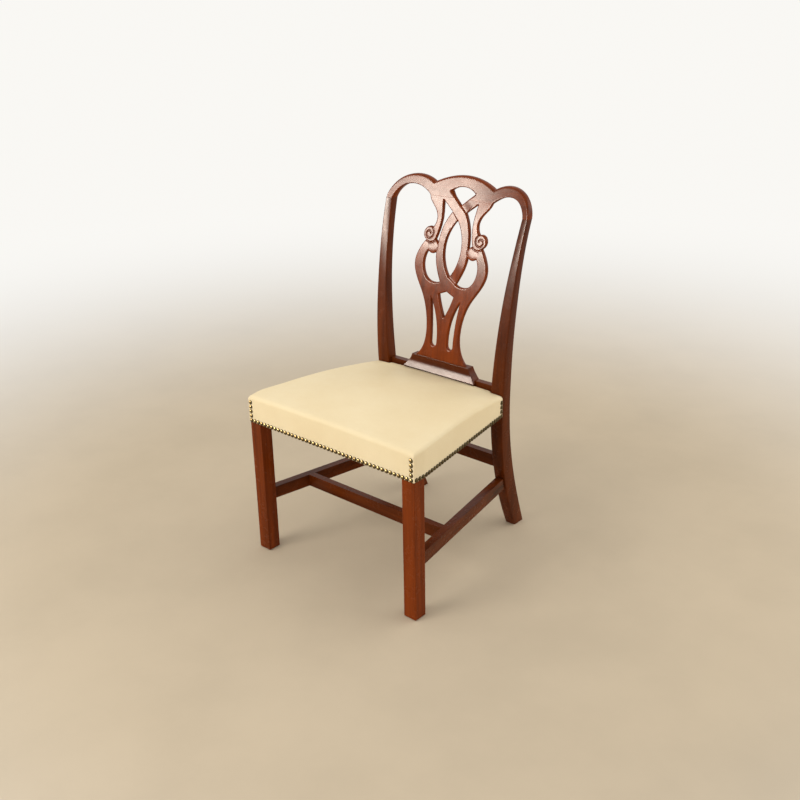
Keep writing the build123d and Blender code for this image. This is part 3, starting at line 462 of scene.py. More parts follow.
@dataclass(frozen=True)
class Mahogany:
    """Reddish-brown mahogany under a rubbed satin lacquer."""

    name: str = "mahogany"
    dark: tuple = (0.048, 0.0085, 0.0012, 1.0)
    middle: tuple = (0.15, 0.0255, 0.0026, 1.0)
    light: tuple = (0.28, 0.049, 0.0046, 1.0)
    rubbed: tuple = (0.34, 0.15, 0.055, 1.0)
    roughness: float = 0.22
    arris: float = 0.0011

    def material(self, effects: Effects, grain: Grain) -> bpy.types.Material:
        """Make the finish for one grain direction.

        Args:
            effects: Shared node groups.
            grain: Direction of the grain.

        Returns:
            The material.
        """
        settings = {"IOR": 1.45, "Specular_IOR_Level": 0.12}
        made, tree, shader, place = start_material(f"{self.name} {grain.name.lower()}", **settings)
        upright = tree.stretch(place, (1.0, 1.0, 1.0), grain.value)
        figure = tree.group(effects.figure, Vector=upright, Streak=0.55, Pore=0.8)
        wear = tree.group(effects.wear, Vector=place, Radius=self.arris, Patches=0.02)
        mottle = tree.group(effects.mottle, Vector=place, Scale=4.5)
        tone, rubbed = figure["Tone"], wear["Rubbed"]
        colour = tree.mix(tree.ramp(tone, 0.0, 0.6), self.dark, self.middle)
        colour = tree.mix(tree.times(tree.ramp(tone, 0.45, 1.0), 0.8), colour, self.light)
        colour = tree.mix(tree.times(mottle["Broad"], 0.3), colour, self.middle)
        colour = tree.mix(tree.times(figure["Pores"], 0.4), colour, self.dark)
        colour = tree.mix(tree.times(rubbed, 0.6), colour, self.rubbed)
        rough = tree.plus(self.roughness, tree.times(mottle["Fine"], 0.07))
        rough = tree.plus(rough, tree.times(rubbed, 0.2))
        normal = tree.bump(figure["Height"], 0.07, 0.0003, Normal=wear["Normal"])
        tree.feed(shader, Base_Color=colour, Roughness=rough, Normal=normal)
        return made


@dataclass(frozen=True)
class ShadePaintedMahogany(Mahogany):
    """The same finish made darker as painted shade, on the rear legs, the shoe, the rear rail and the
    stretchers.
    """

    name: str = "dark mahogany"
    dark: tuple = (0.026, 0.005, 0.0009, 1.0)
    middle: tuple = (0.085, 0.016, 0.0019, 1.0)
    light: tuple = (0.155, 0.03, 0.0031, 1.0)


Timber = dict[Grain, bpy.types.Material]


@dataclass(frozen=True)
class SawnWood:
    """Pale hardwood of the hidden seat frame, planed but not finished."""

    dark: tuple = (0.27, 0.165, 0.08, 1.0)
    light: tuple = (0.46, 0.31, 0.17, 1.0)

    def material(self, effects: Effects, grain: Grain) -> bpy.types.Material:
        """Make the finish for one grain direction.

        Args:
            effects: Shared node groups.
            grain: Direction of the grain.

        Returns:
            The material.
        """
        made, tree, shader, place = start_material(f"sawn wood {grain.name.lower()}", Roughness=0.72)
        upright = tree.stretch(place, (1.0, 1.0, 1.0), grain.value)
        figure = tree.group(effects.figure, Vector=upright, Streak=0.6, Pore=0.4)
        wear = tree.group(effects.wear, Vector=place, Radius=0.0006, Patches=0.0)
        colour = tree.mix(figure["Tone"], self.dark, self.light)
        colour = tree.mix(tree.times(figure["Pores"], 0.5), colour, self.dark)
        normal = tree.bump(figure["Height"], 0.25, 0.0004, Normal=wear["Normal"])
        tree.feed(shader, Base_Color=colour, Normal=normal)
        return made


@dataclass(frozen=True)
class CreamLeather:
    """Smooth cream leather with a fine pebble grain and a little handling; the grain's valleys and its folds
    are darkened as painted shade.
    """

    pale: tuple = (0.85, 0.72, 0.475, 1.0)
    warm: tuple = (0.77, 0.615, 0.365, 1.0)
    crease_shade: tuple = (0.58, 0.43, 0.24, 1.0)

    def material(self, effects: Effects) -> bpy.types.Material:
        """Make the leather from shared node groups and return it."""
        made, tree, shader, place = start_material("cream leather", IOR=1.46, Specular_IOR_Level=0.15)
        mottle = tree.group(effects.mottle, Vector=place, Scale=5.0)
        grain = tree.add("ShaderNodeTexVoronoi", {"feature": "DISTANCE_TO_EDGE"}, Vector=place, Scale=620.0)
        pebble = tree.ramp(grain.outputs[0], 0.0, 0.22)
        creases = tree.noise(tree.stretch(place, (1.0, 1.6, 1.0)), 55.0, 8.0, 0.7)
        fold = tree.ramp(creases, 0.6, 0.75)
        colour = tree.mix(tree.times(mottle["Broad"], 0.45), self.pale, self.warm)
        colour = tree.mix(tree.times(mottle["Fine"], 0.1), colour, self.warm)
        # painted shade: the valleys of the pebble grain and the folds are drawn towards the crease colour
        shade = tree.times(tree.math("SUBTRACT", 1.0, pebble), 0.12)
        colour = tree.mix(tree.plus(shade, tree.times(fold, 0.04)), colour, self.crease_shade)
        rough = tree.plus(0.48, tree.times(mottle["Fine"], 0.12))
        height = tree.math("SUBTRACT", pebble, tree.times(fold, 0.6))
        tree.feed(shader, Base_Color=colour, Roughness=rough, Normal=tree.bump(height, 0.12, 0.0004))
        return made


@dataclass(frozen=True)
class DarkBrass:
    """Antiqued brass of the nail heads, dark round the rim and rubbed on the crown."""

    rim: tuple = (0.026, 0.018, 0.008, 1.0)
    crown: tuple = (0.15, 0.108, 0.048, 1.0)

    def material(self, effects: Effects) -> bpy.types.Material:
        """Make the metal from shared node groups and return it."""
        made, tree, shader, place = start_material("antiqued brass", Metallic=1.0)
        mottle = tree.group(effects.mottle, Vector=place, Scale=110.0)
        rim = tree.add("ShaderNodeAttribute", {"attribute_name": "rim"}).outputs["Fac"]
        colour = tree.mix(tree.ramp(rim, 0.25, 0.95), self.crown, self.rim)
        colour = tree.mix(tree.times(mottle["Broad"], 0.45), colour, self.rim)
        rough = tree.plus(0.3, tree.times(mottle["Fine"], 0.2))
        normal = tree.bump(mottle["Fine"], 0.2, 0.0002)
        tree.feed(shader, Base_Color=colour, Roughness=rough, Normal=normal)
        return made


@dataclass(frozen=True)
class ScrewSteel:
    """Plain steel of the corner block screws, with a little tarnish."""

    bright: tuple = (0.5, 0.5, 0.5, 1.0)
    dull: tuple = (0.22, 0.2, 0.18, 1.0)

    def material(self, effects: Effects) -> bpy.types.Material:
        """Make the metal from shared node groups and return it."""
        made, tree, shader, place = start_material("screw steel", Metallic=1.0)
        mottle = tree.group(effects.mottle, Vector=place, Scale=160.0)
        colour = tree.mix(mottle["Broad"], self.bright, self.dull)
        rough = tree.plus(0.32, tree.times(mottle["Fine"], 0.2))
        tree.feed(shader, Base_Color=colour, Roughness=rough)
        return made


@dataclass(frozen=True)
class Jute:
    """Woven jute, as webbing or as hessian, with painted shade in the gaps between its threads."""

    thread: tuple = (0.36, 0.255, 0.13, 1.0)
    pale: tuple = (0.5, 0.385, 0.22, 1.0)
    gap: tuple = (0.09, 0.06, 0.03, 1.0)

    def material(self, effects: Effects, weave: Weave) -> bpy.types.Material:
        """Make the cloth.

        Args:
            effects: Shared node groups.
            weave: Which cloth, with its threads per metre.

        Returns:
            The material, which reads the piece's own UV map in metres.
        """
        made, tree, shader, place = start_material(f"jute {weave.name.lower()}", Roughness=0.88)
        sewn = tree.add("ShaderNodeTexCoord").outputs["UV"]
        along, across = weave.value
        cloth = tree.group(effects.weave, Vector=sewn, Along=along, Across=across)
        mottle = tree.group(effects.mottle, Vector=place, Scale=26.0)
        colour = tree.mix(mottle["Fine"], self.thread, self.pale)
        # painted shade: the gaps between the threads take a dark colour
        colour = tree.mix(tree.times(cloth["Gap"], 0.8), colour, self.gap)
        tree.feed(shader, Base_Color=colour, Normal=tree.bump(cloth["Height"], 0.7, 0.0006))
        return made


@dataclass(frozen=True)
class BackCurve:
    """Rake of the chair's back: an arc in side view that starts upright below the seat."""

    start: float = FRONT_Y + 0.4403
    foot: float = 0.357
    rise: float = 0.614
    reach: float = 0.1193
    plan_radius: float = 0.888
    ear_joint: float = 0.896

    def face(self, height: Array | float) -> Array | float:
        """Y of the splat's face at a height: start + R - sqrt(R^2 - h^2) for an arc of radius R."""
        radius = (self.rise**2 + self.reach**2) / (2 * self.reach)
        return self.start + radius - np.sqrt(radius**2 - (height - self.foot) ** 2)

    def crest_face(self, x: Array, height: Array, depth: Array | float = 0.0) -> Array:
        """Y of the bowed crest, a depth behind its face.

        Args:
            x: Place across the chair.
            height: Height over the floor.
            depth: How far behind the face.

        Returns:
            c + sqrt(r^2 - x^2), on circles in plan about one upright axis at c in front of the chair.
        """
        axis = self.face(self.ear_joint) - self.plan_radius
        return axis + np.sqrt((self.face(height) - axis + depth) ** 2 - x * x)


BATCH = 4000
JOINT_BAND = 2e-4
PROBE = 4e-4
ON_LINE = 1e-6


def batches(count: int) -> list:
    """Split as many indices into arrays of about one batch each."""
    return np.array_split(np.arange(count), max(1, count // BATCH))


@dataclass
class Edges:
    """Free edges of a flat carved piece in front view, as short straight pieces."""

    start: Array
    end: Array

    @classmethod
    def of_node(cls, node: str, layer: Callable[[Array, Array], Array], joints: tuple) -> "Edges":
        """Cut the walls of a CAD node with a layer that lies just inside its back.

        Args:
            node: Name of the node.
            layer: Function of x and z that gives the layer's y.
            joints: Heights of shoulders, where an edge isn't free.

        Returns:
            The cut through each wall facet that the layer crosses.
        """
        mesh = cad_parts[node].data
        mesh.calc_loop_triangles()
        corners = np.empty(len(mesh.loop_triangles) * 3, dtype=np.int64)
        mesh.loop_triangles.foreach_get("vertices", corners)
        facets = coordinates(mesh)[corners].reshape(-1, 3, 3)
        level = facets[:, :, 1] - layer(facets[:, :, 0], facets[:, :, 2])
        crossed = (level.min(axis=1) < 0) & (level.max(axis=1) > 0)
        facets, level = facets[crossed], level[crossed]
        above = level > 0
        lone = np.where(above.sum(axis=1) == 1, above.argmax(axis=1), (~above).argmax(axis=1))
        rows = np.arange(len(facets))
        ends = []
        for step in (1, 2):
            other = (lone + step) % 3
            share = level[rows, lone] / (level[rows, lone] - level[rows, other])
            point = facets[rows, lone] + (facets[rows, other] - facets[rows, lone]) * share[:, None]
            ends.append(point[:, [0, 2]])
        start, end = ends
        free = np.ones(len(start), dtype=bool)
        for height in joints:
            free &= (np.abs(start[:, 1] - height) > JOINT_BAND) | (np.abs(end[:, 1] - height) > JOINT_BAND)
        return cls(start[free], end[free])

    def inside(self, points: Array) -> Array:
        """Tell which points are in the wood.

        Args:
            points: Places in front view.

        Returns:
            True where a level ray to the right crosses the edges an odd number of times.
        """
        found = np.zeros(len(points), dtype=bool)
        rise = self.end[:, 1] - self.start[:, 1]
        lean = (self.end[:, 0] - self.start[:, 0]) / np.where(rise == 0, 1.0, rise)
        for part in batches(len(points)):
            x, z = points[part, 0, None], points[part, 1, None]
            spans = (self.start[None, :, 1] <= z) != (self.end[None, :, 1] <= z)
            beyond = self.start[None, :, 0] + (z - self.start[None, :, 1]) * lean[None, :] > x
            found[part] = (spans & beyond).sum(axis=1) % 2 == 1
        return found

    def reach(self, points: Array, radius: Array) -> tuple[Array, Array]:
        """Measure from points to the edges.

        Args:
            points: Places in front view.
            radius: Radius of the round on each edge piece.

        Returns:
            Distance to the nearest edge, and the depth that the rounds cut away.
        """
        near, cut = np.empty(len(points)), np.empty(len(points))
        along = self.end - self.start
        length = np.maximum((along**2).sum(axis=1), 1e-14)
        for part in batches(len(points)):
            offset = points[part, None, :] - self.start[None, :, :]
            share = np.clip((offset * along[None]).sum(axis=2) / length[None], 0.0, 1.0)
            distance = np.sqrt(((offset - share[:, :, None] * along[None]) ** 2).sum(axis=2))
            near[part] = distance.min(axis=1)
            cut[part] = round_over(distance, radius[None]).max(axis=1)
        return near, cut

    def facing_up(self) -> Array:
        """Height part of each edge piece's outward direction, from -1 below to 1 on top."""
        along = self.end - self.start
        across = np.stack([-along[:, 1], along[:, 0]], axis=1)
        across /= np.maximum(np.linalg.norm(across, axis=1), 1e-12)[:, None]
        middle = (self.start + self.end) / 2
        inward = self.inside(middle + across * PROBE)
        return np.where(inward, -across[:, 1], across[:, 1])


@dataclass
class CarvedPanel:
    """Flat piece of carved wood: a grid trimmed to the node's outline, with relief on its front.

    The front is y = face(x, z) + cut(x, z), the back is y = back(x, z) - round, and a wall joins their rims.
    """

    name: str
    node: str
    low: float
    high: float
    half: float
    pitch: float
    joints: tuple
    edge_round: float = 0.003
    least: float = 0.001
    snap: float = 0.22
    nudge: float = 1.1e-5

    def face(self, x: Array, z: Array) -> Array:
        """Y of the uncut front."""
        raise NotImplementedError

    def back(self, x: Array, z: Array) -> Array:
        """Y of the uncut back."""
        raise NotImplementedError

    def layer(self, x: Array, z: Array) -> Array:
        """Y of the layer that the CAD node's walls are cut with."""
        raise NotImplementedError

    def relief(self, x: Array, z: Array) -> Array:
        """Depth that carving takes off the front."""
        raise NotImplementedError

    def edge_radius(self, edges: Edges) -> Array:
        """Radius of the round on each edge of the front."""
        return np.full(len(edges.start), self.edge_round)

    def build(self) -> bpy.types.Object:
        """Make the panel.

        Returns:
            The object: full grid cells as quads, cut cells as triangles whose corners lie on the outline.
        """
        edges = Edges.of_node(self.node, self.layer, self.joints)
        columns = 2 * int(math.ceil(self.half / self.pitch)) + 3
        rows = int(round((self.high - self.low) / self.pitch)) + 1
        x = (np.arange(columns) - columns // 2) * self.pitch
        z = np.linspace(self.low, self.high, rows)
        points = np.stack([np.tile(x, rows), np.repeat(z, columns)], axis=1)
        front_radius, back_radius = self.edge_radius(edges), np.full(len(edges.start), self.edge_round)
        near, _ = edges.reach(points, front_radius)
        probe = points.copy()
        probe[:, 1] = np.clip(probe[:, 1], self.low + self.nudge, self.high - self.nudge)
        signed = np.where(edges.inside(probe), near, -near)
        points, faces = self.trim(points, signed, rows, columns)
        cut, back_cut = edges.reach(points, front_radius)[1], edges.reach(points, back_radius)[1]
        across, height = points[:, 0], points[:, 1]
        front_y = self.face(across, height) + cut + self.relief(across, height)
        back_y = np.maximum(self.back(across, height) - back_cut, front_y + self.least)
        vertices = np.concatenate([np.stack([across, y, height], axis=1) for y in (front_y, back_y)])
        count = len(points)
        rim = self.open_edges(faces)
        walls = np.stack([rim[:, 0], rim[:, 0] + count, rim[:, 1] + count, rim[:, 1]], axis=1)
        flat = [face.tolist() for face in faces] + [(face[:, ::-1] + count).tolist() for face in faces]
        piece = make_object(self.name, vertices, sum(flat, []) + walls.tolist())
        on_rim = np.isin(np.arange(len(vertices)) % count, rim)
        at_joint = np.abs(vertices[:, 2, None] - np.array(self.joints)).min(axis=1) < ON_LINE
        mark_sharp(piece, on_rim & at_joint)
        return piece

    def trim(self, points: Array, signed: Array, rows: int, columns: int) -> tuple[Array, list]:
        """Cut a grid along the line where a signed distance is zero.

        Args:
            points: Grid points, row by row.
            signed: Distance in from the outline, negative outside.
            rows: Number of rows.
            columns: Number of columns.

        Returns:
            Points that are used, and the quads and triangles over them.
        """
        table = signed.reshape(rows, columns)
        slope_z, slope_x = np.gradient(table, self.pitch)
        on_line = np.minimum(np.abs(points[:, 1] - self.low), np.abs(points[:, 1] - self.high)) <= ON_LINE
        snapped = (np.abs(signed) < self.snap * self.pitch) & ~on_line
        points = points.copy()
        points[snapped, 0] -= (signed * slope_x.ravel())[snapped]
        points[snapped, 1] -= (signed * slope_z.ravel())[snapped]
        within = (signed > 0) | snapped
        cells = grid_faces(rows, columns)
        full = within[cells].all(axis=1)
        part = cells[~full & within[cells].any(axis=1)]
        thirds = np.concatenate([part[:, [0, 1, 2]], part[:, [0, 2, 3]]])
        count = within[thirds].sum(axis=1)
        whole = thirds[count == 3]
        single, pair = thirds[count == 1], thirds[count == 2]
        turn = within[single].argmax(axis=1)[:, None]
        single = np.take_along_axis(single, (turn + np.arange(3)) % 3, axis=1)
        turn = (~within[pair]).argmax(axis=1)[:, None]
        pair = np.take_along_axis(pair, (turn + np.arange(1, 4)) % 3, axis=1)
        links = np.concatenate([single[:, [0, 1]], single[:, [0, 2]], pair[:, [1, 2]], pair[:, [0, 2]]])
        keys = links[:, 0] * len(points) + links[:, 1]
        unique, rank = np.unique(keys, return_inverse=True)
        inner, outer = unique // len(points), unique % len(points)
        share = signed[inner] / (signed[inner] - signed[outer])
        added = points[inner] + (points[outer] - points[inner]) * share[:, None]
        name = np.where(snapped[links[:, 0]], links[:, 0], len(points) + rank.ravel())
        one, two, three, four = np.split(name, np.cumsum([len(single), len(single), len(pair)]))
        triangles = np.concatenate([
            whole,
            np.stack([single[:, 0], one, two], axis=1),
            np.stack([pair[:, 0], pair[:, 1], three], axis=1),
            np.stack([pair[:, 0], three, four], axis=1),
        ])
        distinct = (triangles[:, 0] != triangles[:, 1]) & (triangles[:, 1] != triangles[:, 2])
        triangles = triangles[distinct & (triangles[:, 0] != triangles[:, 2])]
        points = np.concatenate([points, added])
        quads = cells[full]
        used = np.unique(np.concatenate([quads.ravel(), triangles.ravel()]))
        fresh = np.full(len(points), -1)
        fresh[used] = np.arange(len(used))
        return points[used], [fresh[quads], fresh[triangles]]

    @staticmethod
    def open_edges(faces: list) -> Array:
        """Directed edges that only one face has.

        Args:
            faces: Arrays of quads and of triangles.

        Returns:
            Start and end of each such edge, in the order of its face.
        """
        pairs = [np.stack([face, np.roll(face, -1, axis=1)], axis=2).reshape(-1, 2) for face in faces]
        runs = np.concatenate(pairs)
        size = runs.max() + 1
        back = runs[:, 1] * size + runs[:, 0]
        return runs[~np.isin(runs[:, 0] * size + runs[:, 1], back)]


@dataclass(frozen=True)
class Crossing:
    """Edge of a strap that passes over another, with the under strap on its left."""

    start: tuple
    end: tuple
    run: float
    sink: float = 0.0028
    edge: float = 0.002
    fade: float = 0.002
    soft: float = 0.0007

    def cut(self, x: Array, z: Array) -> Array:
        """Depth taken off beside the edge.

        Args:
            x: Place across the chair.
            z: Height.

        Returns:
            A quarter-round on the over strap, and on the under strap a drop that eases out over the run.
        """
        along = np.subtract(self.end, self.start)
        length = math.hypot(*along)
        along = along / length
        run = (x - self.start[0]) * along[0] + (z - self.start[1]) * along[1]
        side = -(x - self.start[0]) * along[1] + (z - self.start[1]) * along[0]
        within = smooth_step(-self.fade, 0.0, run) * (1 - smooth_step(length, length + self.fade, run))
        under = self.sink * smooth_step(-self.soft, self.soft, side) * (1 - smooth_step(0.0, self.run, side))
        over = round_over(np.abs(side), self.edge) * (side < 0)
        return within * np.maximum(under, over)


@dataclass(frozen=True)
class Scroll:
    """Volute of a side strap on the right half, with a ball tucked under it.

    The groove follows rho = a exp(-k psi) from the notch beside the strap, once round and into the eye.
    A second line parts the curl from the ball, and the ball is domed. The notch and the turns are in
    radians, and the angles of the parting line and of the strap are in degrees.
    """

    eye: tuple = (0.086, 0.816)
    radius: float = 0.0185
    rim: float = 0.0015
    notch: float = math.radians(115)
    shrink: float = 0.17
    last_turn: float = 7.6
    run_out: float = 0.4
    groove_width: float = 0.00135
    groove_depth: float = 0.0027
    parting: float = 0.0278
    parting_fall: float = 0.0093
    parting_from: float = 210.0
    parting_sweep: float = 85.0
    held_from: tuple = (198.0, 208.0)
    held_to: tuple = (293.0, 300.0)
    line_width: float = 0.0012
    line_depth: float = 0.002
    sink_width: float = 0.007
    sink_depth: float = 0.0016
    sink_edge: float = 0.0006
    ball: tuple = (0.0668, 0.7844)
    ball_radius: float = 0.0185
    ball_drop: float = 0.0016
    strap_side: float = -12.0
    strap_width: float = 42.0

    def spiral(self, radius: Array, turn: Array) -> Array:
        """Share of the groove's depth at places round the eye.

        Args:
            radius: Distance from the eye.
            turn: Angle round the eye, in radians.

        Returns:
            The larger of two laps of a bell about the spiral line, run out at its last turn.
        """
        wound = np.mod(turn - self.notch, 2 * math.pi)
        groove = np.zeros_like(radius)
        for lap in (0.0, 2 * math.pi):
            line = self.radius * np.exp(-self.shrink * (wound + lap))
            reach = 1 - smooth_step(self.last_turn - self.run_out, self.last_turn, wound + lap)
            groove = np.maximum(groove, reach * np.exp(-(((radius - line) / self.groove_width) ** 2)))
        return groove * (1 - smooth_step(self.radius, self.radius + self.rim, radius))

    def cut(self, x: Array, z: Array) -> Array:
        """Depth below the face.

        Args:
            x: Place across, from the middle.
            z: Height.

        Returns:
            The groove, the parting line, the sunk side of that line and the ball's dome, added up.
        """
        out, up = x - self.eye[0], z - self.eye[1]
        radius, turn = np.hypot(out, up), np.arctan2(up, out)
        degrees = np.mod(np.degrees(turn), 360.0)
        parting = self.parting - self.parting_fall * (degrees - self.parting_from) / self.parting_sweep
        below = radius - parting
        held = smooth_step(*self.held_from, degrees) * (1 - smooth_step(*self.held_to, degrees))
        line = held * np.exp(-((below / self.line_width) ** 2))
        sunk = held * np.exp(-np.maximum(below, 0.0) / self.sink_width)
        sunk = sunk * smooth_step(-self.sink_edge, self.sink_edge, below)
        along, over = x - self.ball[0], z - self.ball[1]
        from_ball = np.hypot(along, over) / self.ball_radius
        facing = np.degrees(np.arctan2(over, along))
        free = 1 - np.exp(-(((facing - self.strap_side) / self.strap_width) ** 2))
        dome = self.ball_drop * np.clip(from_ball, 0.0, 1.0) ** 4 * free * (from_ball < 1.0)
        lines = self.groove_depth * self.spiral(radius, turn) + self.line_depth * line
        return lines + self.sink_depth * sunk + dome * (below > 0)


@dataclass
class Splat(CarvedPanel):
    """Pierced splat with interlaced straps, scrolled volutes and balls tucked under them."""

    name: str = "splat_carved"
    node: str = "splat"
    low: float = 0.487
    high: float = 0.914
    half: float = 0.122
    pitch: float = 0.0013
    joints: tuple = (0.487, 0.914)
    thickness: float = 0.012
    bow_from: float = 0.85
    layer_inset: float = 0.0015
    crossings: tuple = (Crossing((0.0, 0.897), (0.023, 0.88), 0.03),
                        Crossing((0.0, 0.86), (-0.023, 0.88), 0.045),
                        Crossing((0.0, 0.7145), (0.027, 0.698), 0.05))
    scroll: Scroll = Scroll()
    curve: BackCurve = BackCurve()

    def bow(self, x: Array, z: Array) -> Array:
        """How far the top of the splat comes forward to lie flush with the bowed crest."""
        return smooth_step(self.bow_from, self.high, z) * x * x / (2 * self.curve.plan_radius)

    def face(self, x: Array, z: Array) -> Array:
        """Y of the uncut front: the back's arc, bowed near the crest."""
        return self.curve.face(z) - self.bow(x, z)

    def back(self, x: Array, z: Array) -> Array:
        """Y of the uncut back, one thickness behind the front."""
        return self.face(x, z) + self.thickness

    def layer(self, x: Array, z: Array) -> Array:
        """Y just inside the back of the CAD splat, clear of its tenons and pockets."""
        return self.curve.face(z) + self.thickness - self.layer_inset

    def relief(self, x: Array, z: Array) -> Array:
        """Depth of the carving: straps that dip under at three edges, volutes and balls."""
        straps = np.max([crossing.cut(x, z) for crossing in self.crossings], axis=0)
        return straps + self.scroll.cut(np.abs(x), z)


@dataclass
class CrestRail(CarvedPanel):
    """Bowed crest rail with rolled ears, a raised middle lobe and a rolled top edge."""

    name: str = "crest_carved"
    node: str = "crest_rail"
    low: float = 0.896
    high: float = 0.9716
    half: float = 0.2346
    pitch: float = 0.0012
    joints: tuple = (0.896, 0.914)
    top_round: float = 0.005
    splat_joint: float = 0.914
    splat_half: float = 0.1
    splat_depth: float = 0.012
    thin_rise: float = 0.024
    thin_inset: float = 0.01
    thin_outset: float = 0.035
    layer_inset: float = 0.002
    rolled_facing: tuple = (0.1, 0.6)
    rolled_height: tuple = (0.9, 0.94)
    depth_heights: tuple = (0.886, 0.9335, 0.981)
    depths: tuple = (0.024, 0.02, 0.011)
    curve: BackCurve = BackCurve()

    def depth(self, z: Array) -> Array:
        """Thickness of the plank at a height, a parabola through three sizes."""
        return np.polyval(np.polyfit(self.depth_heights, self.depths, 2), z)

    def face(self, x: Array, z: Array) -> Array:
        """Y of the uncut front."""
        return self.curve.crest_face(x, z)

    def back(self, x: Array, z: Array) -> Array:
        """Y of the uncut back, which thins to the splat's thickness where it meets the splat."""
        thin = 1 - smooth_step(self.splat_joint, self.splat_joint + self.thin_rise, z)
        low, high = self.splat_half - self.thin_inset, self.splat_half + self.thin_outset
        thin = thin * (1 - smooth_step(low, high, np.abs(x)))
        return self.curve.crest_face(x, z, self.depth(z) + (self.splat_depth - self.depth(z)) * thin)

    def layer(self, x: Array, z: Array) -> Array:
        """Y just inside the back of the CAD crest, clear of its mortises."""
        return self.curve.crest_face(x, z, self.depth(z) - self.layer_inset)

    def relief(self, x: Array, z: Array) -> Array:
        """Depth of the carving: none, as the crest's face is plain."""
        return np.zeros_like(x)

    def edge_radius(self, edges: Edges) -> Array:
        """Radius of the round on each edge: small below, larger on top once clear of the posts."""
        height = (edges.start[:, 1] + edges.end[:, 1]) / 2
        rolled = smooth_step(*self.rolled_facing, edges.facing_up())
        rolled = rolled * smooth_step(*self.rolled_height, height)
        return self.edge_round + (self.top_round - self.edge_round) * rolled


@dataclass
class Carcass:
    """Front legs, rails, stretchers, blocks and screws, kept as the CAD makes them."""

    upright: tuple = ("front_leg_left", "front_leg_right")
    deep: tuple = ("side_stretcher_left", "side_stretcher_right")
    across: tuple = ("cross_stretcher", "rear_stretcher", "rear_seat_rail")
    hidden_deep: tuple = ("side_seat_rail_left", "side_seat_rail_right", "corner_block_front_left",
                          "corner_block_front_right", "corner_block_rear_left", "corner_block_rear_right")
    hidden_across: tuple = ("front_seat_rail",)
    screws: str = "corner_block_screws"

    def dress(self, effects: Effects, wood: Timber, shade_painted_wood: Timber) -> None:
        """Give each kept node a finish with its own grain direction.

        Args:
            effects: Shared node groups.
            wood: Mahogany for each grain direction.
            shade_painted_wood: The same finish made darker, as painted shade.
        """
        for node in self.upright:
            finish_node(node, wood[Grain.UPRIGHT])
        for nodes, grain in ((self.deep, Grain.DEEP), (self.across, Grain.ACROSS)):
            for node in nodes:
                finish_node(node, shade_painted_wood[grain])
        for nodes, grain in ((self.hidden_deep, Grain.DEEP), (self.hidden_across, Grain.ACROSS)):
            material = SawnWood().material(effects, grain)
            for node in nodes:
                finish_node(node, material)
        finish_node(self.screws, ScrewSteel().material(effects))


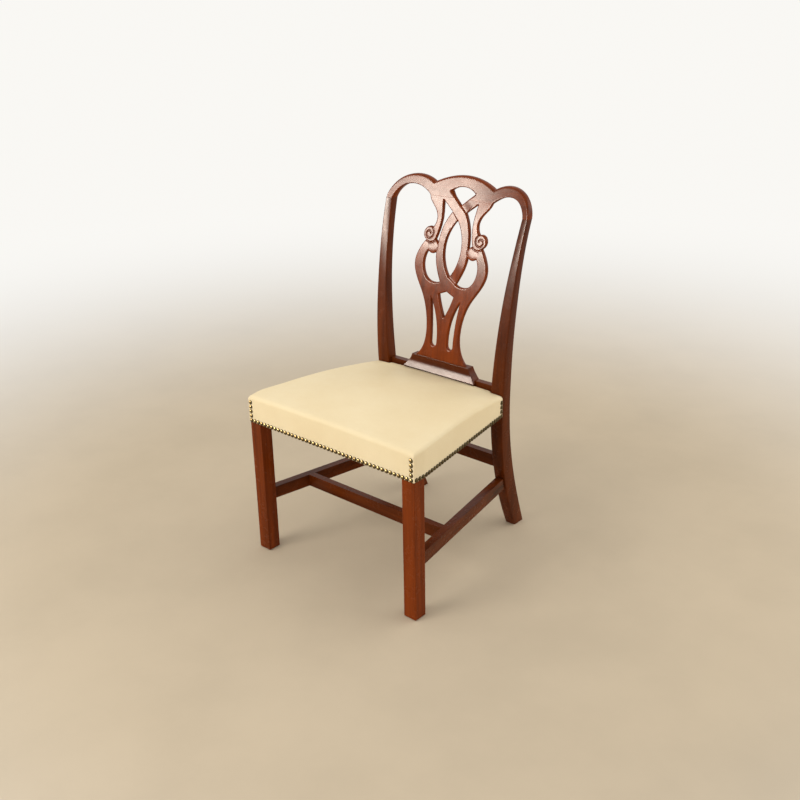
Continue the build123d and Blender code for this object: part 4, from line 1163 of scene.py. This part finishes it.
@dataclass
class RearLegs:
    """Rear legs that run up into the posts of the back, and turn there to meet the bowed crest.

    The level section at height z is a rounded rectangle from inner(z) to outer(z) and from front(z) to
    front(z) + depth(z). Its corners are quarter circles, and the top is sheared along the crest's face.
    """

    bend: float = 0.46
    joint: float = 0.896
    outer: tuple = (0.193, 0.221, 0.2345)
    inner: tuple = (0.162, 0.1805, 0.215)
    bend_ease: float = 0.03
    foot_front: float = 0.5445
    depth_heights: tuple = (0.0, 0.15, 0.3, 0.46, 0.66, 0.896)
    depths: tuple = (0.042, 0.046, 0.0405, 0.035, 0.0285, 0.024)
    corner: float = 0.003
    turn_from: float = 0.66
    sections: int = 150
    corner_steps: int = 5
    curve: BackCurve = BackCurve()

    def half_width(self, sizes: tuple, height: Array) -> Array:
        """Place of a side face: two straight runs through the foot, the bend and the top.

        Args:
            sizes: Place at the foot, at the bend and at the top.
            height: Heights over the floor.

        Returns:
            The lower line, plus the change of slope times (d + sqrt(d^2 + e^2)) / 2 past the bend.
        """
        low, high = (sizes[1] - sizes[0]) / self.bend, (sizes[2] - sizes[1]) / (self.joint - self.bend)
        past = height - self.bend
        eased = (past + np.sqrt(past * past + self.bend_ease**2)) / 2
        return sizes[1] + low * past + (high - low) * eased

    def front(self, height: Array) -> Array:
        """Y of the front face: two arcs that meet upright at the bend."""
        middle = (self.outer[2] + self.inner[2]) / 2
        top = self.curve.crest_face(middle, self.joint) - FRONT_Y - SEAT_DEPTH
        foot = self.foot_front - SEAT_DEPTH
        rise = np.where(height < self.bend, self.bend, self.joint - self.bend)
        reach = np.where(height < self.bend, foot, top)
        radius = (rise**2 + reach**2) / (2 * reach)
        return FRONT_Y + SEAT_DEPTH + radius - np.sqrt(radius**2 - (height - self.bend) ** 2)

    def sweep(self, name: str, sign: int) -> bpy.types.Object:
        """Sweep one leg.

        Args:
            name: Name of the piece.
            sign: -1 on the left, 1 on the right.

        Returns:
            The object, closed by a flat foot and a flat shoulder under the crest.
        """
        height = np.linspace(0.0, self.joint, self.sections)
        outer, inner = self.half_width(self.outer, height), self.half_width(self.inner, height)
        depth = np.polyval(np.polyfit(self.depth_heights, self.depths, len(self.depths) - 1), height)
        middle_x, middle_y = (outer + inner) / 2, self.front(height) + depth / 2
        reach_x, reach_y = (outer - inner) / 2 - self.corner, depth / 2 - self.corner
        turn = np.linspace(0.0, math.pi / 2, self.corner_steps)
        angle = np.concatenate([turn + quarter * math.pi / 2 for quarter in range(4)])
        corner = angle.reshape(4, -1).mean(axis=1).repeat(self.corner_steps)
        side, far = np.sign(np.cos(corner)), np.sign(np.sin(corner))
        x = middle_x[:, None] + side * reach_x[:, None] + self.corner * np.cos(angle)
        y = middle_y[:, None] + far * reach_y[:, None] + self.corner * np.sin(angle)
        crest = self.curve.crest_face(x, self.joint) - self.curve.crest_face(middle_x, self.joint)[:, None]
        y = y + crest * smooth_step(self.turn_from, self.joint, height)[:, None]
        z = np.broadcast_to(height[:, None], x.shape)
        vertices = np.stack([sign * x, y, z], axis=-1).reshape(-1, 3)
        piece = make_object(name, vertices, tube_faces(*x.shape))
        if sign < 0:
            piece.data.flip_normals()
        mark_sharp(piece, vertices[:, 2] == 0.0, vertices[:, 2] == self.joint)
        return piece

    def build(self, wood: Timber) -> None:
        """Sweep both legs and dress them in upright grain."""
        for name, sign in (("left", -1), ("right", 1)):
            piece = self.sweep(f"rear_leg_{name}_swept", sign)
            settle(piece, "mahogany", wood[Grain.UPRIGHT], f"rear_leg_{name}")


@dataclass
class Back:
    """Splat and crest rail, carved."""

    splat: Splat
    crest: CrestRail

    def build(self, wood: Timber) -> None:
        """Carve both pieces and dress them."""
        settle(self.splat.build(), "mahogany", wood[Grain.UPRIGHT], "splat")
        settle(self.crest.build(), "mahogany", wood[Grain.ACROSS], "crest_rail")


@dataclass
class Shoe:
    """Shoe that the splat stands in: a steep band over a flared one, mitred round its ends.

    The level section at height z is a rectangle. Its front moves out in proportion to the fall below the
    waist, eased there, and its ends spread by a power of the fall over the whole height.
    """

    top: float = 0.487
    waist: float = 0.4685
    bottom: float = 0.4492
    face: float = 0.443
    front_flare: float = 0.0088
    half: float = 0.0975
    end_flare: float = 0.0255
    end_power: float = 1.4
    ease: float = 0.004
    arris: float = 0.0009
    rail_face: float = 0.447
    rail_top: float = 0.456
    back: float = 0.467
    low_rows: int = 12
    rows: int = 40
    sharp_angle: float = math.radians(30)

    def build(self, wood: Timber) -> None:
        """Stack the sections, close them and dress the block."""
        low = np.linspace(self.bottom, self.rail_top, self.low_rows)
        z = np.concatenate([low, np.linspace(self.rail_top, self.top, self.rows)])
        fall = self.waist - z
        flare = (fall + np.sqrt(fall * fall + self.ease**2)) / (2 * (self.waist - self.bottom))
        rolled = round_over(self.top - z, self.arris)
        share = (self.top - z) / (self.top - self.bottom)
        front = self.face - self.front_flare * flare + rolled
        half = self.half + self.end_flare * share**self.end_power - rolled
        back = np.where(np.arange(len(z)) < self.low_rows, self.rail_face, self.back - rolled)
        corners = ((-half, front), (half, front), (half, back), (-half, back))
        rings = np.stack([np.stack([x, FRONT_Y + depth, z], axis=-1) for x, depth in corners], axis=1)
        piece = make_object("splat_shoe_moulded", rings.reshape(-1, 3), tube_faces(len(z), len(corners)))
        piece.data.set_sharp_from_angle(angle=self.sharp_angle)
        settle(piece, "mahogany", wood[Grain.ACROSS], "splat_shoe")


@dataclass
class LeatherSeat:
    """Padded leather seat: one sheet over the pad, its flaps drawn down over the rails."""

    cover: float = 0.0015
    rim: float = 0.009
    back_rim: float = 0.006
    back_edge: float = SEAT_DEPTH - 0.0003
    notch_half: float = 0.178
    notch_depth: float = 0.4467
    notch_inset: float = 0.012
    notch_outset: float = 0.002
    slack: float = 0.003
    held_back: float = SEAT_DEPTH + 0.004
    held_ease: float = 0.05
    held_levels: int = 11
    cap: float = 0.0045
    frames: int = 20
    rim_steps: int = 6
    back_rim_steps: int = 5
    rows: int = 62
    columns: int = 28
    post_columns: int = 6
    flap_rows: int = 13
    tongue_rows: int = 6
    curve_steps: int = 200
    weld_gap: float = 2e-5
    stations: tuple = ((-0.03, 0.451, 0.448), (0.0, 0.458, 0.455), (0.12, 0.4725, 0.46), (0.24, 0.474, 0.459),
                       (0.35, 0.4625, 0.451), (0.435, 0.446, 0.4415), (0.47, 0.438, 0.436))

    def half_width(self, depth: Array) -> Array:
        """Half width over the leather at a depth behind the front legs."""
        share = np.clip((depth - LEG) / (SEAT_DEPTH - LEG), 0.0, 1.0)
        return FRONT_HALF + (RAIL_BACK_HALF - FRONT_HALF) * share + self.cover

    def crown(self, x: Array, depth: Array) -> Array:
        """Height of the padded top before it is inflated.

        Args:
            x: Place across the seat.
            depth: Depth behind the front legs.

        Returns:
            A parabola across, between smooth curves along the middle and along the edges.
        """
        places = np.array(self.stations)
        fine = np.linspace(places[0, 0], places[-1, 0], self.curve_steps)
        slope = np.gradient(places[:, 1:], places[:, 0], axis=0)
        step = np.clip(np.searchsorted(places[:, 0], fine) - 1, 0, len(places) - 2)
        width = (places[step + 1, 0] - places[step, 0])[:, None]
        t = ((fine - places[step, 0]) / width[:, 0])[:, None]
        curve = ((2 * t**3 - 3 * t**2 + 1) * places[step, 1:] + (t**3 - 2 * t**2 + t) * width * slope[step]
                 + (3 * t**2 - 2 * t**3) * places[step + 1, 1:] + (t**3 - t**2) * width * slope[step + 1])
        middle, edge = np.interp(depth, fine, curve[:, 0]), np.interp(depth, fine, curve[:, 1])
        share = x / self.half_width(depth)
        return middle - (middle - edge) * share * share

    def build(self, effects: Effects) -> None:
        """Make the sheet, inflate it and dress it.

        Args:
            effects: Shared node groups.
        """
        piece = self.sheet()
        self.inflate(piece)
        solid = piece.modifiers.new("leather", "SOLIDIFY")
        solid.thickness, solid.offset = self.cover, -1.0
        smooth = piece.modifiers.new("smooth", "SUBSURF")
        smooth.levels = smooth.render_levels = 1
        settle(piece, "leather", CreamLeather().material(effects), "seat_cover", "seat_foam")

    def top(self) -> tuple[Array, Array]:
        """Lay out the top, which turns down over the front and the sides and in front of the posts.

        Returns:
            The grid of points, and the place of each column across the back edge.
        """
        roll = self.rim * (1 - np.sin(np.linspace(math.pi / 2, 0.0, self.rim_steps)))
        quarter = np.linspace(0.0, math.pi / 2, self.back_rim_steps)
        front_roll, back_roll = roll - self.cover, self.back_edge - self.back_rim * (1 - np.sin(quarter))
        middle = np.linspace(front_roll[-1], back_roll[0], self.rows)[1:-1]
        depth = np.concatenate([front_roll, middle, back_roll])
        back_half = self.half_width(depth[-1])
        between = np.linspace(0.0, self.notch_half, self.columns)
        beside = np.linspace(self.notch_half, back_half - self.rim, self.post_columns)[1:]
        right = np.concatenate([between, beside, back_half - roll[::-1][1:]])
        column = np.concatenate([-right[:0:-1], right])
        side_gap = np.minimum(back_half - np.abs(column), self.rim)
        depth = depth[:, None]
        width = self.half_width(depth)
        inside = (width - self.rim) / (back_half - self.rim)
        x = np.where(side_gap < self.rim, np.sign(column) * (width - side_gap), column * inside)
        front_gap = np.minimum(depth + self.cover, self.rim)
        post_gap = np.minimum(self.back_edge - depth, self.back_rim)
        low, high = self.notch_half - self.notch_inset, self.notch_half + self.notch_outset
        past_notch = smooth_step(low, high, np.abs(x))
        drop = np.maximum(round_over(side_gap, self.rim), round_over(front_gap, self.rim))
        drop = np.maximum(drop, round_over(post_gap, self.back_rim) * past_notch)
        height = self.crown(x, depth) - self.slack * self.free(x, depth) - drop
        return np.stack([x, np.broadcast_to(FRONT_Y + depth, x.shape), height], axis=-1), column

    def tongue(self, edge: Array) -> Array:
        """Carry the top on between the posts, down to its own rolled edges.

        Args:
            edge: Points of the top's last row between the posts.

        Returns:
            Grid of points whose first row is that edge.
        """
        depth = np.linspace(self.back_edge, self.notch_depth, self.tongue_rows)[:, None]
        x = np.broadcast_to(edge[:, 0], (self.tongue_rows, len(edge)))
        end_gap = np.minimum(self.notch_depth - depth, self.back_rim)
        side_gap = np.clip(self.notch_half - np.abs(x), 0.0, self.back_rim)
        grown = smooth_step(0.0, 1.0, np.linspace(0, 1, self.tongue_rows))[:, None]
        drop = np.maximum(round_over(end_gap, self.back_rim), round_over(side_gap, self.back_rim) * grown)
        height = self.crown(x, depth) - drop
        height[0] = edge[:, 2]
        return np.stack([x, np.broadcast_to(FRONT_Y + depth, x.shape), height], axis=-1)

    def sheet(self) -> bpy.types.Object:
        """Join the top, its flaps and its tongue between the posts, welded along their edges.

        Returns:
            The sheet, with a vertex group that holds the flaps and rims.
        """
        top, column = self.top()
        patches = [top]
        lower = np.linspace(0.0, 1.0, self.flap_rows)[:, None, None]
        for edge in (top[0], top[:, 0], top[:, -1]):
            foot = edge.copy()
            foot[:, 2] = COVER_BOTTOM
            patches.append(edge + (foot - edge) * lower)
        patches.append(self.tongue(top[-1][np.abs(column) <= self.notch_half + TINY]))
        piece = make_object("seat_leather", *join_grids(patches))
        weld(piece, self.weld_gap)
        points = coordinates(piece.data)
        fixed = 1 - self.free(points[:, 0], points[:, 1] - FRONT_Y)
        held = piece.vertex_groups.new(name="held")
        for level in np.linspace(0.0, 1.0, self.held_levels):
            chosen = np.nonzero(np.abs(fixed - level) <= 0.5 / (self.held_levels - 1))[0]
            held.add(chosen.tolist(), float(level), "REPLACE")
        return piece

    def free(self, x: Array, depth: Array) -> Array:
        """Share by which a point of the top is free to rise: 0 on the rims and flaps, 1 well inside."""
        side = self.half_width(depth) - np.abs(x)
        near = np.minimum(np.minimum(side, depth + self.cover), self.held_back - depth)
        return smooth_step(self.rim, self.rim + self.held_ease, near)

    def inflate(self, piece: bpy.types.Object) -> None:
        """Swell the top by cloth simulation under pressure, then cap how far it moved.

        Args:
            piece: The sheet, changed in place.
        """
        scene = bpy.context.scene
        before = coordinates(piece.data)
        cloth = piece.modifiers.new("stuffing", "CLOTH")
        cloth.settings.quality = 6
        cloth.settings.mass = 0.4
        cloth.settings.tension_stiffness = cloth.settings.compression_stiffness = 30.0
        cloth.settings.bending_stiffness = 2.0
        cloth.settings.vertex_group_mass = "held"
        cloth.settings.use_pressure = True
        cloth.settings.uniform_pressure_force = 4.0
        cloth.settings.effector_weights.gravity = 0.0
        cloth.collision_settings.use_collision = False
        cloth.point_cache.frame_start, cloth.point_cache.frame_end = 1, self.frames
        for number in range(1, self.frames + 1):
            scene.frame_set(number)
        ready = piece.evaluated_get(bpy.context.evaluated_depsgraph_get())
        moved = coordinates(ready.data) - before
        piece.modifiers.remove(cloth)
        scene.frame_set(1)
        size = np.linalg.norm(moved, axis=1, keepdims=True)
        capped = moved * np.tanh(size / self.cap) * self.cap / np.maximum(size, TINY)
        piece.data.vertices.foreach_set("co", (before + capped).ravel())
        piece.data.update()
        LOG.info("leather swelled by up to %.1f mm", 1000 * np.linalg.norm(capped, axis=1).max())


@dataclass
class NailRows:
    """Close rows of domed nails along the lower edge of the leather and up its corners."""

    head: float = 0.0115
    rise: float = 0.004
    pitch: float = 0.0127
    inset: float = 0.007
    cover: float = 0.0015
    sides: int = 12
    front_upright: int = 4
    side_upright: int = 3
    size_change: float = 0.03
    size_limits: tuple = (-1.2, 0.4)
    weld_gap: float = 1e-7
    profile: tuple = ((1.0, 0.0), (1.0, 0.14), (0.88, 0.5), (0.62, 0.8), (0.3, 0.96))

    def row(self, start: float, end: float) -> Array:
        """Places along a row, spread evenly near the pitch."""
        count = round(abs(end - start) / self.pitch)
        return np.linspace(start, end, count + 1)

    def front(self) -> Array:
        """Places of the front nails and of the upright rows at its corners."""
        reach = FRONT_HALF - self.inset
        along = self.row(-reach, reach)
        low = np.stack([along, np.full_like(along, NAIL_LINE)], axis=1)
        up = NAIL_LINE + self.pitch * np.arange(1, self.front_upright + 1)
        posts = [np.stack([np.full_like(up, side * reach), up], axis=1) for side in (-1, 1)]
        flat = np.concatenate([low, *posts])
        return np.stack([flat[:, 0], np.full(len(flat), FRONT_Y - self.cover), flat[:, 1]], axis=1)

    def side(self, sign: int) -> tuple[Array, Array]:
        """Places and outward directions of the nails on one side.

        Args:
            sign: -1 on the left, 1 on the right.

        Returns:
            Points, and a unit direction for each.
        """
        lean = RAIL_BACK_HALF - FRONT_HALF
        length = math.hypot(lean, SEAT_DEPTH - LEG)
        leg = self.row(self.inset - LEG, -self.pitch / 2)
        rail = self.row(self.pitch / 2, length - self.inset)
        along = np.concatenate([leg, rail, np.full(self.side_upright, rail[-1])])
        upright = NAIL_LINE + self.pitch * np.arange(1, self.side_upright + 1)
        height = np.concatenate([np.full(len(leg) + len(rail), NAIL_LINE), upright])
        share = np.maximum(along, 0.0) / length
        x = FRONT_HALF + self.cover + lean * share
        y = FRONT_Y + LEG + np.where(along > 0, (SEAT_DEPTH - LEG) * share, along)
        out = np.where((along > 0)[:, None], [[SEAT_DEPTH - LEG, -lean]], [[length, 0.0]]) / length
        points = np.stack([sign * x, y, height], axis=1)
        return points, np.stack([sign * out[:, 0], out[:, 1], np.zeros(len(out))], axis=1)

    def heads(self, name: str, points: Array, outward: Array, seed: int) -> bpy.types.Object:
        """Turn a low dome about the outward direction at each point.

        Args:
            name: Name of the piece.
            points: Middle of each nail on the leather.
            outward: Unit direction of each nail.
            seed: Start of the small differences in size and seat.

        Returns:
            One object that holds all the heads, with a rim attribute that is 1 at each edge.
        """
        chance = np.random.default_rng(seed)
        up = np.array([0.0, 0.0, 1.0])
        across = np.cross(up, outward)
        size = 1.0 + self.size_change * chance.standard_normal(len(points)).clip(*self.size_limits)
        spin = chance.uniform(0.0, 1.0, len(points))
        rings = np.array(self.profile)
        angle = 2 * math.pi * (np.arange(self.sides)[None] + spin[:, None]) / self.sides
        circle = across[:, None] * np.cos(angle)[..., None] + up * np.sin(angle)[..., None]
        radius = (rings[:, 0] * self.head / 2)[None, :, None, None] * size[:, None, None, None]
        lift = (rings[:, 1] * self.rise)[None, :, None, None]
        body = points[:, None, None] + circle[:, None] * radius + outward[:, None, None] * lift
        crown = points + outward * self.rise
        vertices = np.concatenate([body.reshape(len(points), -1, 3), crown[:, None], points[:, None]], axis=1)
        each = vertices.shape[1]
        ring = np.arange(self.sides)
        after = np.roll(ring, -1)
        last = (len(rings) - 1) * self.sides
        caps = np.concatenate([np.stack([ring + last, after + last, np.full_like(ring, each - 2)], axis=1),
                               np.stack([after, ring, np.full_like(ring, each - 1)], axis=1)])
        offsets = (np.arange(len(points)) * each)[:, None, None]
        quads = (wall_faces(len(rings), self.sides)[None] + offsets).reshape(-1, 4)
        faces = quads.tolist() + (caps[None] + offsets).reshape(-1, 3).tolist()
        piece = make_object(name, vertices.reshape(-1, 3), faces)
        weld(piece, self.weld_gap)
        rim = np.concatenate([np.repeat(rings[:, 0] ** 3, self.sides), [0.0, 1.0]])
        marks = piece.data.attributes.new("rim", "FLOAT", "POINT")
        marks.data.foreach_set("value", np.tile(rim, len(points)))
        return piece

    def build(self, effects: Effects) -> None:
        """Make the three groups of nails and dress them.

        Args:
            effects: Shared node groups.
        """
        brass = DarkBrass().material(effects)
        front = self.front()
        forward = np.tile([0.0, -1.0, 0.0], (len(front), 1))
        settle(self.heads("nail_heads_front", front, forward, 11), "nail_bronze", brass, "nails_front")
        for name, sign, seed in (("left", -1, 23), ("right", 1, 37)):
            piece = self.heads(f"nail_heads_{name}", *self.side(sign), seed)
            settle(piece, "nail_bronze", brass, f"nails_{name}")


@dataclass
class SeatBase:
    """Webbing woven across the seat frame, and the hessian over it."""

    deck_front: float = 0.438
    deck_back: float = 0.424
    strap: float = 0.05
    spacing: float = 0.1
    thickness: float = 0.0016
    first_depth: float = 0.11
    ends: tuple = (0.004, 0.443)
    lengthwise: int = 4
    crosswise: int = 3
    strap_columns: int = 7
    strap_rows: tuple = (90, 110)
    lift: float = 0.002
    weave_rise: float = 0.0009
    weave_reach: float = 0.034
    rail_gap: float = 0.004
    hessian_thickness: float = 0.0008
    hessian_ends: tuple = (0.005, 0.4417)
    hessian_lift: float = 0.0044
    hessian_steps: int = 45
    front_gap: float = 0.005
    side_gap: float = 0.0065
    notch_gap: float = 0.004
    post_gap: float = 0.006

    def deck(self, depth: Array) -> Array:
        """Height of the sloping plane on the tops of the rails."""
        return self.deck_front + (self.deck_back - self.deck_front) * depth / SEAT_DEPTH

    def ribbon(self, along: Array, across: Array, lift: Array, lengthwise: bool) -> tuple[Array, Array]:
        """One strap as a grid of points with its own coordinates in metres.

        Args:
            along: Places along the strap.
            across: Places over its width.
            lift: Height over the deck at each place along.
            lengthwise: True where the strap runs from front to back.

        Returns:
            Points and strap coordinates, both as grids.
        """
        a, b = np.meshgrid(along, across, indexing="ij")
        depth, x = (a, b) if lengthwise else (b, a)
        points = np.stack([x, FRONT_Y + depth, self.deck(depth) + lift[:, None]], axis=-1)
        return points, np.stack([b, a], axis=-1)

    def wave(self, along: Array, crossings: Array, number: int) -> Array:
        """Rise and fall of a strap, over the first that it meets and under the next, from about -1 to 1.

        Args:
            along: Places along the strap.
            crossings: Places where others cross it.
            number: Number of the strap, which sets how the weave starts.

        Returns:
            Bells of height 1 and -1 by turns, added up.
        """
        signs = (-1) ** (number + np.arange(len(crossings)))
        bells = np.exp(-(((along - crossings[:, None]) / self.weave_reach) ** 2))
        return (signs[:, None] * bells).sum(axis=0)

    def build(self, effects: Effects) -> None:
        """Weave the straps over and under each other, lay the hessian and dress both.

        Args:
            effects: Shared node groups.
        """
        webbing = Jute().material(effects, Weave.WEBBING)
        long_x = (np.arange(self.lengthwise) - (self.lengthwise - 1) / 2) * self.spacing
        cross_depth = self.first_depth + np.arange(self.crosswise) * self.spacing
        width = np.linspace(-self.strap / 2, self.strap / 2, self.strap_columns)
        along = np.linspace(*self.ends, self.strap_rows[0])
        straps = []
        for number, x in enumerate(long_x):
            lift = self.lift + self.weave_rise * self.wave(along, cross_depth, number)
            straps.append(self.ribbon(along, x + width, lift, True))
        self.strips("webbing_lengthwise_woven", straps, webbing, "webbing_lengthwise")
        straps = []
        for number, depth in enumerate(cross_depth):
            spread = (RAIL_BACK_HALF - FRONT_HALF) * (depth + self.strap / 2 - LEG) / (SEAT_DEPTH - LEG)
            half = FRONT_HALF + spread - self.rail_gap
            run = np.linspace(-half, half, self.strap_rows[1])
            lift = self.lift - self.weave_rise * self.wave(run, long_x, number)
            straps.append(self.ribbon(run, depth + width, lift, False))
        self.strips("webbing_crosswise_woven", straps, webbing, "webbing_crosswise")
        self.cloth(effects)

    def strips(self, name: str, straps: list, material: bpy.types.Material, node: str) -> None:
        """Make one object from straps and dress it.

        Args:
            name: Name of the piece.
            straps: Points and coordinates of each strap.
            material: Finish.
            node: CAD node that the straps stand for.
        """
        piece = make_object(name, *join_grids([points for points, _ in straps]))
        self.unwrap(piece, np.concatenate([place.reshape(-1, 2) for _, place in straps]))
        self.thicken(piece, self.thickness)
        settle(piece, "webbing", material, node)

    @staticmethod
    def thicken(piece: bpy.types.Object, thickness: float) -> None:
        """Give a cloth its thickness, half to each side."""
        solid = piece.modifiers.new("thickness", "SOLIDIFY")
        solid.thickness, solid.offset = thickness, 0.0

    def unwrap(self, piece: bpy.types.Object, flat: Array) -> None:
        """Store strap coordinates as the piece's UV map.

        Args:
            piece: Object to mark.
            flat: Two coordinates for each vertex, in metres.
        """
        corner = np.empty(len(piece.data.loops), dtype=np.int64)
        piece.data.loops.foreach_get("vertex_index", corner)
        layer = piece.data.uv_layers.new(name="threads")
        layer.data.foreach_set("uv", flat[corner].ravel())

    def cloth(self, effects: Effects) -> None:
        """Lay the hessian flat on the straps, a grid whose sides follow the seat's plan.

        Args:
            effects: Shared node groups.
        """
        steps = self.hessian_steps
        depth = np.linspace(*self.hessian_ends, steps)
        seat = LeatherSeat()
        beside, between = seat.half_width(depth) - self.side_gap, seat.notch_half - self.notch_gap
        half = np.where(depth > SEAT_DEPTH - self.post_gap, between, beside)
        half = np.minimum(half, FRONT_HALF - self.front_gap)
        x = np.linspace(-1.0, 1.0, steps)[None] * half[:, None]
        y = np.broadcast_to(depth[:, None], x.shape)
        points = np.stack([x, FRONT_Y + y, self.deck(y) + self.hessian_lift], axis=-1)
        piece = make_object("hessian_cloth", points.reshape(-1, 3), grid_faces(steps, steps).tolist())
        self.unwrap(piece, np.stack([x, y], axis=-1).reshape(-1, 2))
        self.thicken(piece, self.hessian_thickness)
        settle(piece, "hessian", Jute().material(effects, Weave.HESSIAN), "hessian")


def stand(place: tuple, back: Array, roll: float = 0.0) -> Matrix:
    """Pose of a lamp or a camera, which looks along its own -Z.

    Args:
        place: Where it stands.
        back: Unit direction that it looks away from.
        roll: Turn about that direction, in radians.

    Returns:
        The matrix, with a level right side before the roll.
    """
    right = np.cross([0.0, 0.0, 1.0], back)
    right = right / np.linalg.norm(right)
    up = np.cross(back, right)
    turned = np.stack([math.cos(roll) * right + math.sin(roll) * up,
                       math.cos(roll) * up - math.sin(roll) * right, back], axis=1)
    return Matrix.Translation(place) @ Matrix(turned.tolist()).to_4x4()


@dataclass(frozen=True)
class Lamp:
    """Rectangular soft lamp, with its power in watts. One that isn't lit only shows as a sheen."""

    name: str
    place: tuple
    target: tuple
    size: tuple
    power: float
    colour: tuple = (1.0, 0.97, 0.92)
    lit: bool = True

    def hang(self) -> None:
        """Put the lamp in the scene, out of the camera's sight."""
        light = bpy.data.lights.new(self.name, "AREA")
        light.shape, light.size, light.size_y = "RECTANGLE", *self.size
        light.energy, light.color = self.power, self.colour
        lamp = bpy.data.objects.new(self.name, light)
        back = np.subtract(self.place, self.target)
        lamp.matrix_world = stand(self.place, back / np.linalg.norm(back))
        lamp.visible_camera, lamp.visible_diffuse = False, self.lit
        bpy.context.scene.collection.objects.link(lamp)


@dataclass
class Studio:
    """Pale floor, soft lamps and the photograph's camera."""

    camera_place: tuple = (1.67203, -1.91099, 1.48767)
    azimuth: float = 41.38459692
    elevation: float = 22.79238535
    roll: float = -1.05618775
    lens: float = 46.6847
    sensor: float = 36.0
    floor_half: float = 9.0
    floor_near: tuple = (0.57, 0.475, 0.35, 1.0)
    floor_tone: float = 0.92
    floor_far: tuple = (0.94, 0.94, 0.93, 1.0)
    fade: tuple = (0.9, 4.2)
    sky: tuple = (1.0, 0.985, 0.95, 1.0)
    sky_strength: float = 0.8
    backdrop: float = 0.95
    lamps: tuple = (
        Lamp("window", (-1.65, -2.4, 1.85), (0.0, 0.2, 0.85), (1.55, 1.2), 560.0, (1.0, 0.9, 0.78), False),
        Lamp("softbox", (-0.9, -2.9, 2.1), (0.0, 0.0, 0.4), (1.6, 1.6), 50.0),
        Lamp("wall bounce", (1.7, 1.7, 1.9), (0.0, 0.0, 0.6), (2.6, 1.2), 21.0),
    )
    shaded: tuple = ("seat_leather", "cross_stretcher", "rear_stretcher",
                     "side_stretcher_left", "side_stretcher_right", "rear_seat_rail")

    def build(self) -> None:
        """Set up the floor, the lamps, the world and the camera."""
        self.floor()
        for lamp in self.lamps:
            lamp.hang()
        self.world()
        self.camera()

    def floor(self) -> None:
        """Lay a wide pale floor with a faint trowelled tone."""
        side = np.array([-self.floor_half, self.floor_half])
        x, y = np.meshgrid(side, side)
        points = np.stack([x, y, np.zeros_like(x)], axis=-1).reshape(-1, 3)
        piece = make_object("floor", points, grid_faces(2, 2).tolist())
        settings = {"Roughness": 0.9, "Specular_IOR_Level": 0.0, "Emission_Strength": self.backdrop}
        material, tree, shader, place = start_material("pale floor", **settings)
        tone = tree.ramp(tree.noise(place, 2.4, 6.0, 0.6), 0.3, 0.75)
        darker = tuple(self.floor_tone * value for value in self.floor_near[:3]) + (1.0,)
        away = tree.add("ShaderNodeVectorMath", {"operation": "LENGTH"}, i0=place).outputs["Value"]
        far = tree.ramp(away, *self.fade)
        colour = tree.mix(far, tree.mix(tone, self.floor_near, darker), self.floor_far)
        glow = tree.times(far, self.shown(tree))
        tree.feed(shader, Base_Color=tree.mix(glow, colour, BLACK))
        tree.feed(shader, Emission_Color=tree.mix(glow, BLACK, self.sky))
        piece.data.materials.append(material)

    def shown(self, tree: Tree) -> Socket:
        """Mark the rays that show the backdrop: those from the camera, off a gloss or through glass."""
        path = tree.add("ShaderNodeLightPath").outputs
        seen = tree.math("MAXIMUM", path["Is Camera Ray"], path["Is Glossy Ray"])
        return tree.math("MAXIMUM", seen, path["Is Transmission Ray"])

    def flag(self, lamp: str) -> None:
        """Shade the flat tops that a low view from behind would see as one white glare.

        Args:
            lamp: Name of the lamp that leaves them out.
        """
        shade = bpy.data.collections.new(f"shaded from the {lamp}")
        for name in self.shaded:
            shade.objects.link(bpy.data.objects[name])
        for entry in shade.collection_objects:
            entry.light_linking.link_state = "EXCLUDE"
        bpy.data.objects[lamp].light_linking.receiver_collection = shade

    def world(self) -> None:
        """Surround the scene with an even pale sky, white to the camera."""
        world = bpy.data.worlds.new("studio")
        world.use_nodes = True
        bpy.context.scene.world = world
        tree = Tree(world.node_tree)
        background = world.node_tree.nodes["Background"]
        background.inputs["Color"].default_value = self.sky
        levels = {"To_Min": self.sky_strength, "To_Max": self.backdrop}
        strength = tree.add("ShaderNodeMapRange", Value=self.shown(tree), **levels)
        tree.feed(background, Strength=strength.outputs[0])

    def camera(self) -> None:
        """Stand the camera where the photograph was taken from."""
        view = bpy.data.cameras.new("photograph")
        view.sensor_width, view.lens = self.sensor, self.lens
        camera = bpy.data.objects.new("photograph", view)
        az, el, roll = (math.radians(angle) for angle in (self.azimuth, self.elevation, self.roll))
        back = np.array([math.sin(az) * math.cos(el), -math.cos(az) * math.cos(el), math.sin(el)])
        camera.matrix_world = stand(self.camera_place, back, roll)
        bpy.context.scene.collection.objects.link(camera)
        bpy.context.scene.camera = camera


def main() -> None:
    logging.basicConfig(level=logging.INFO, format="%(name)s: %(message)s")
    bpy.context.scene.view_settings.view_transform = "Standard"
    effects = Effects.build()
    studio = Studio()
    studio.build()
    wood = {grain: Mahogany().material(effects, grain) for grain in Grain}
    # a darker copy of the mahogany that paints shade on the rear legs, the shoe, the rear rail and the
    # stretchers
    shade_painted_wood = {grain: ShadePaintedMahogany().material(effects, grain) for grain in Grain}
    Carcass().dress(effects, wood, shade_painted_wood)
    RearLegs().build(shade_painted_wood)
    Shoe().build(shade_painted_wood)
    Back(Splat(), CrestRail()).build(wood)
    SeatBase().build(effects)
    LeatherSeat().build(effects)
    NailRows().build(effects)
    studio.flag("window")


if __name__ == "__main__":
    main()
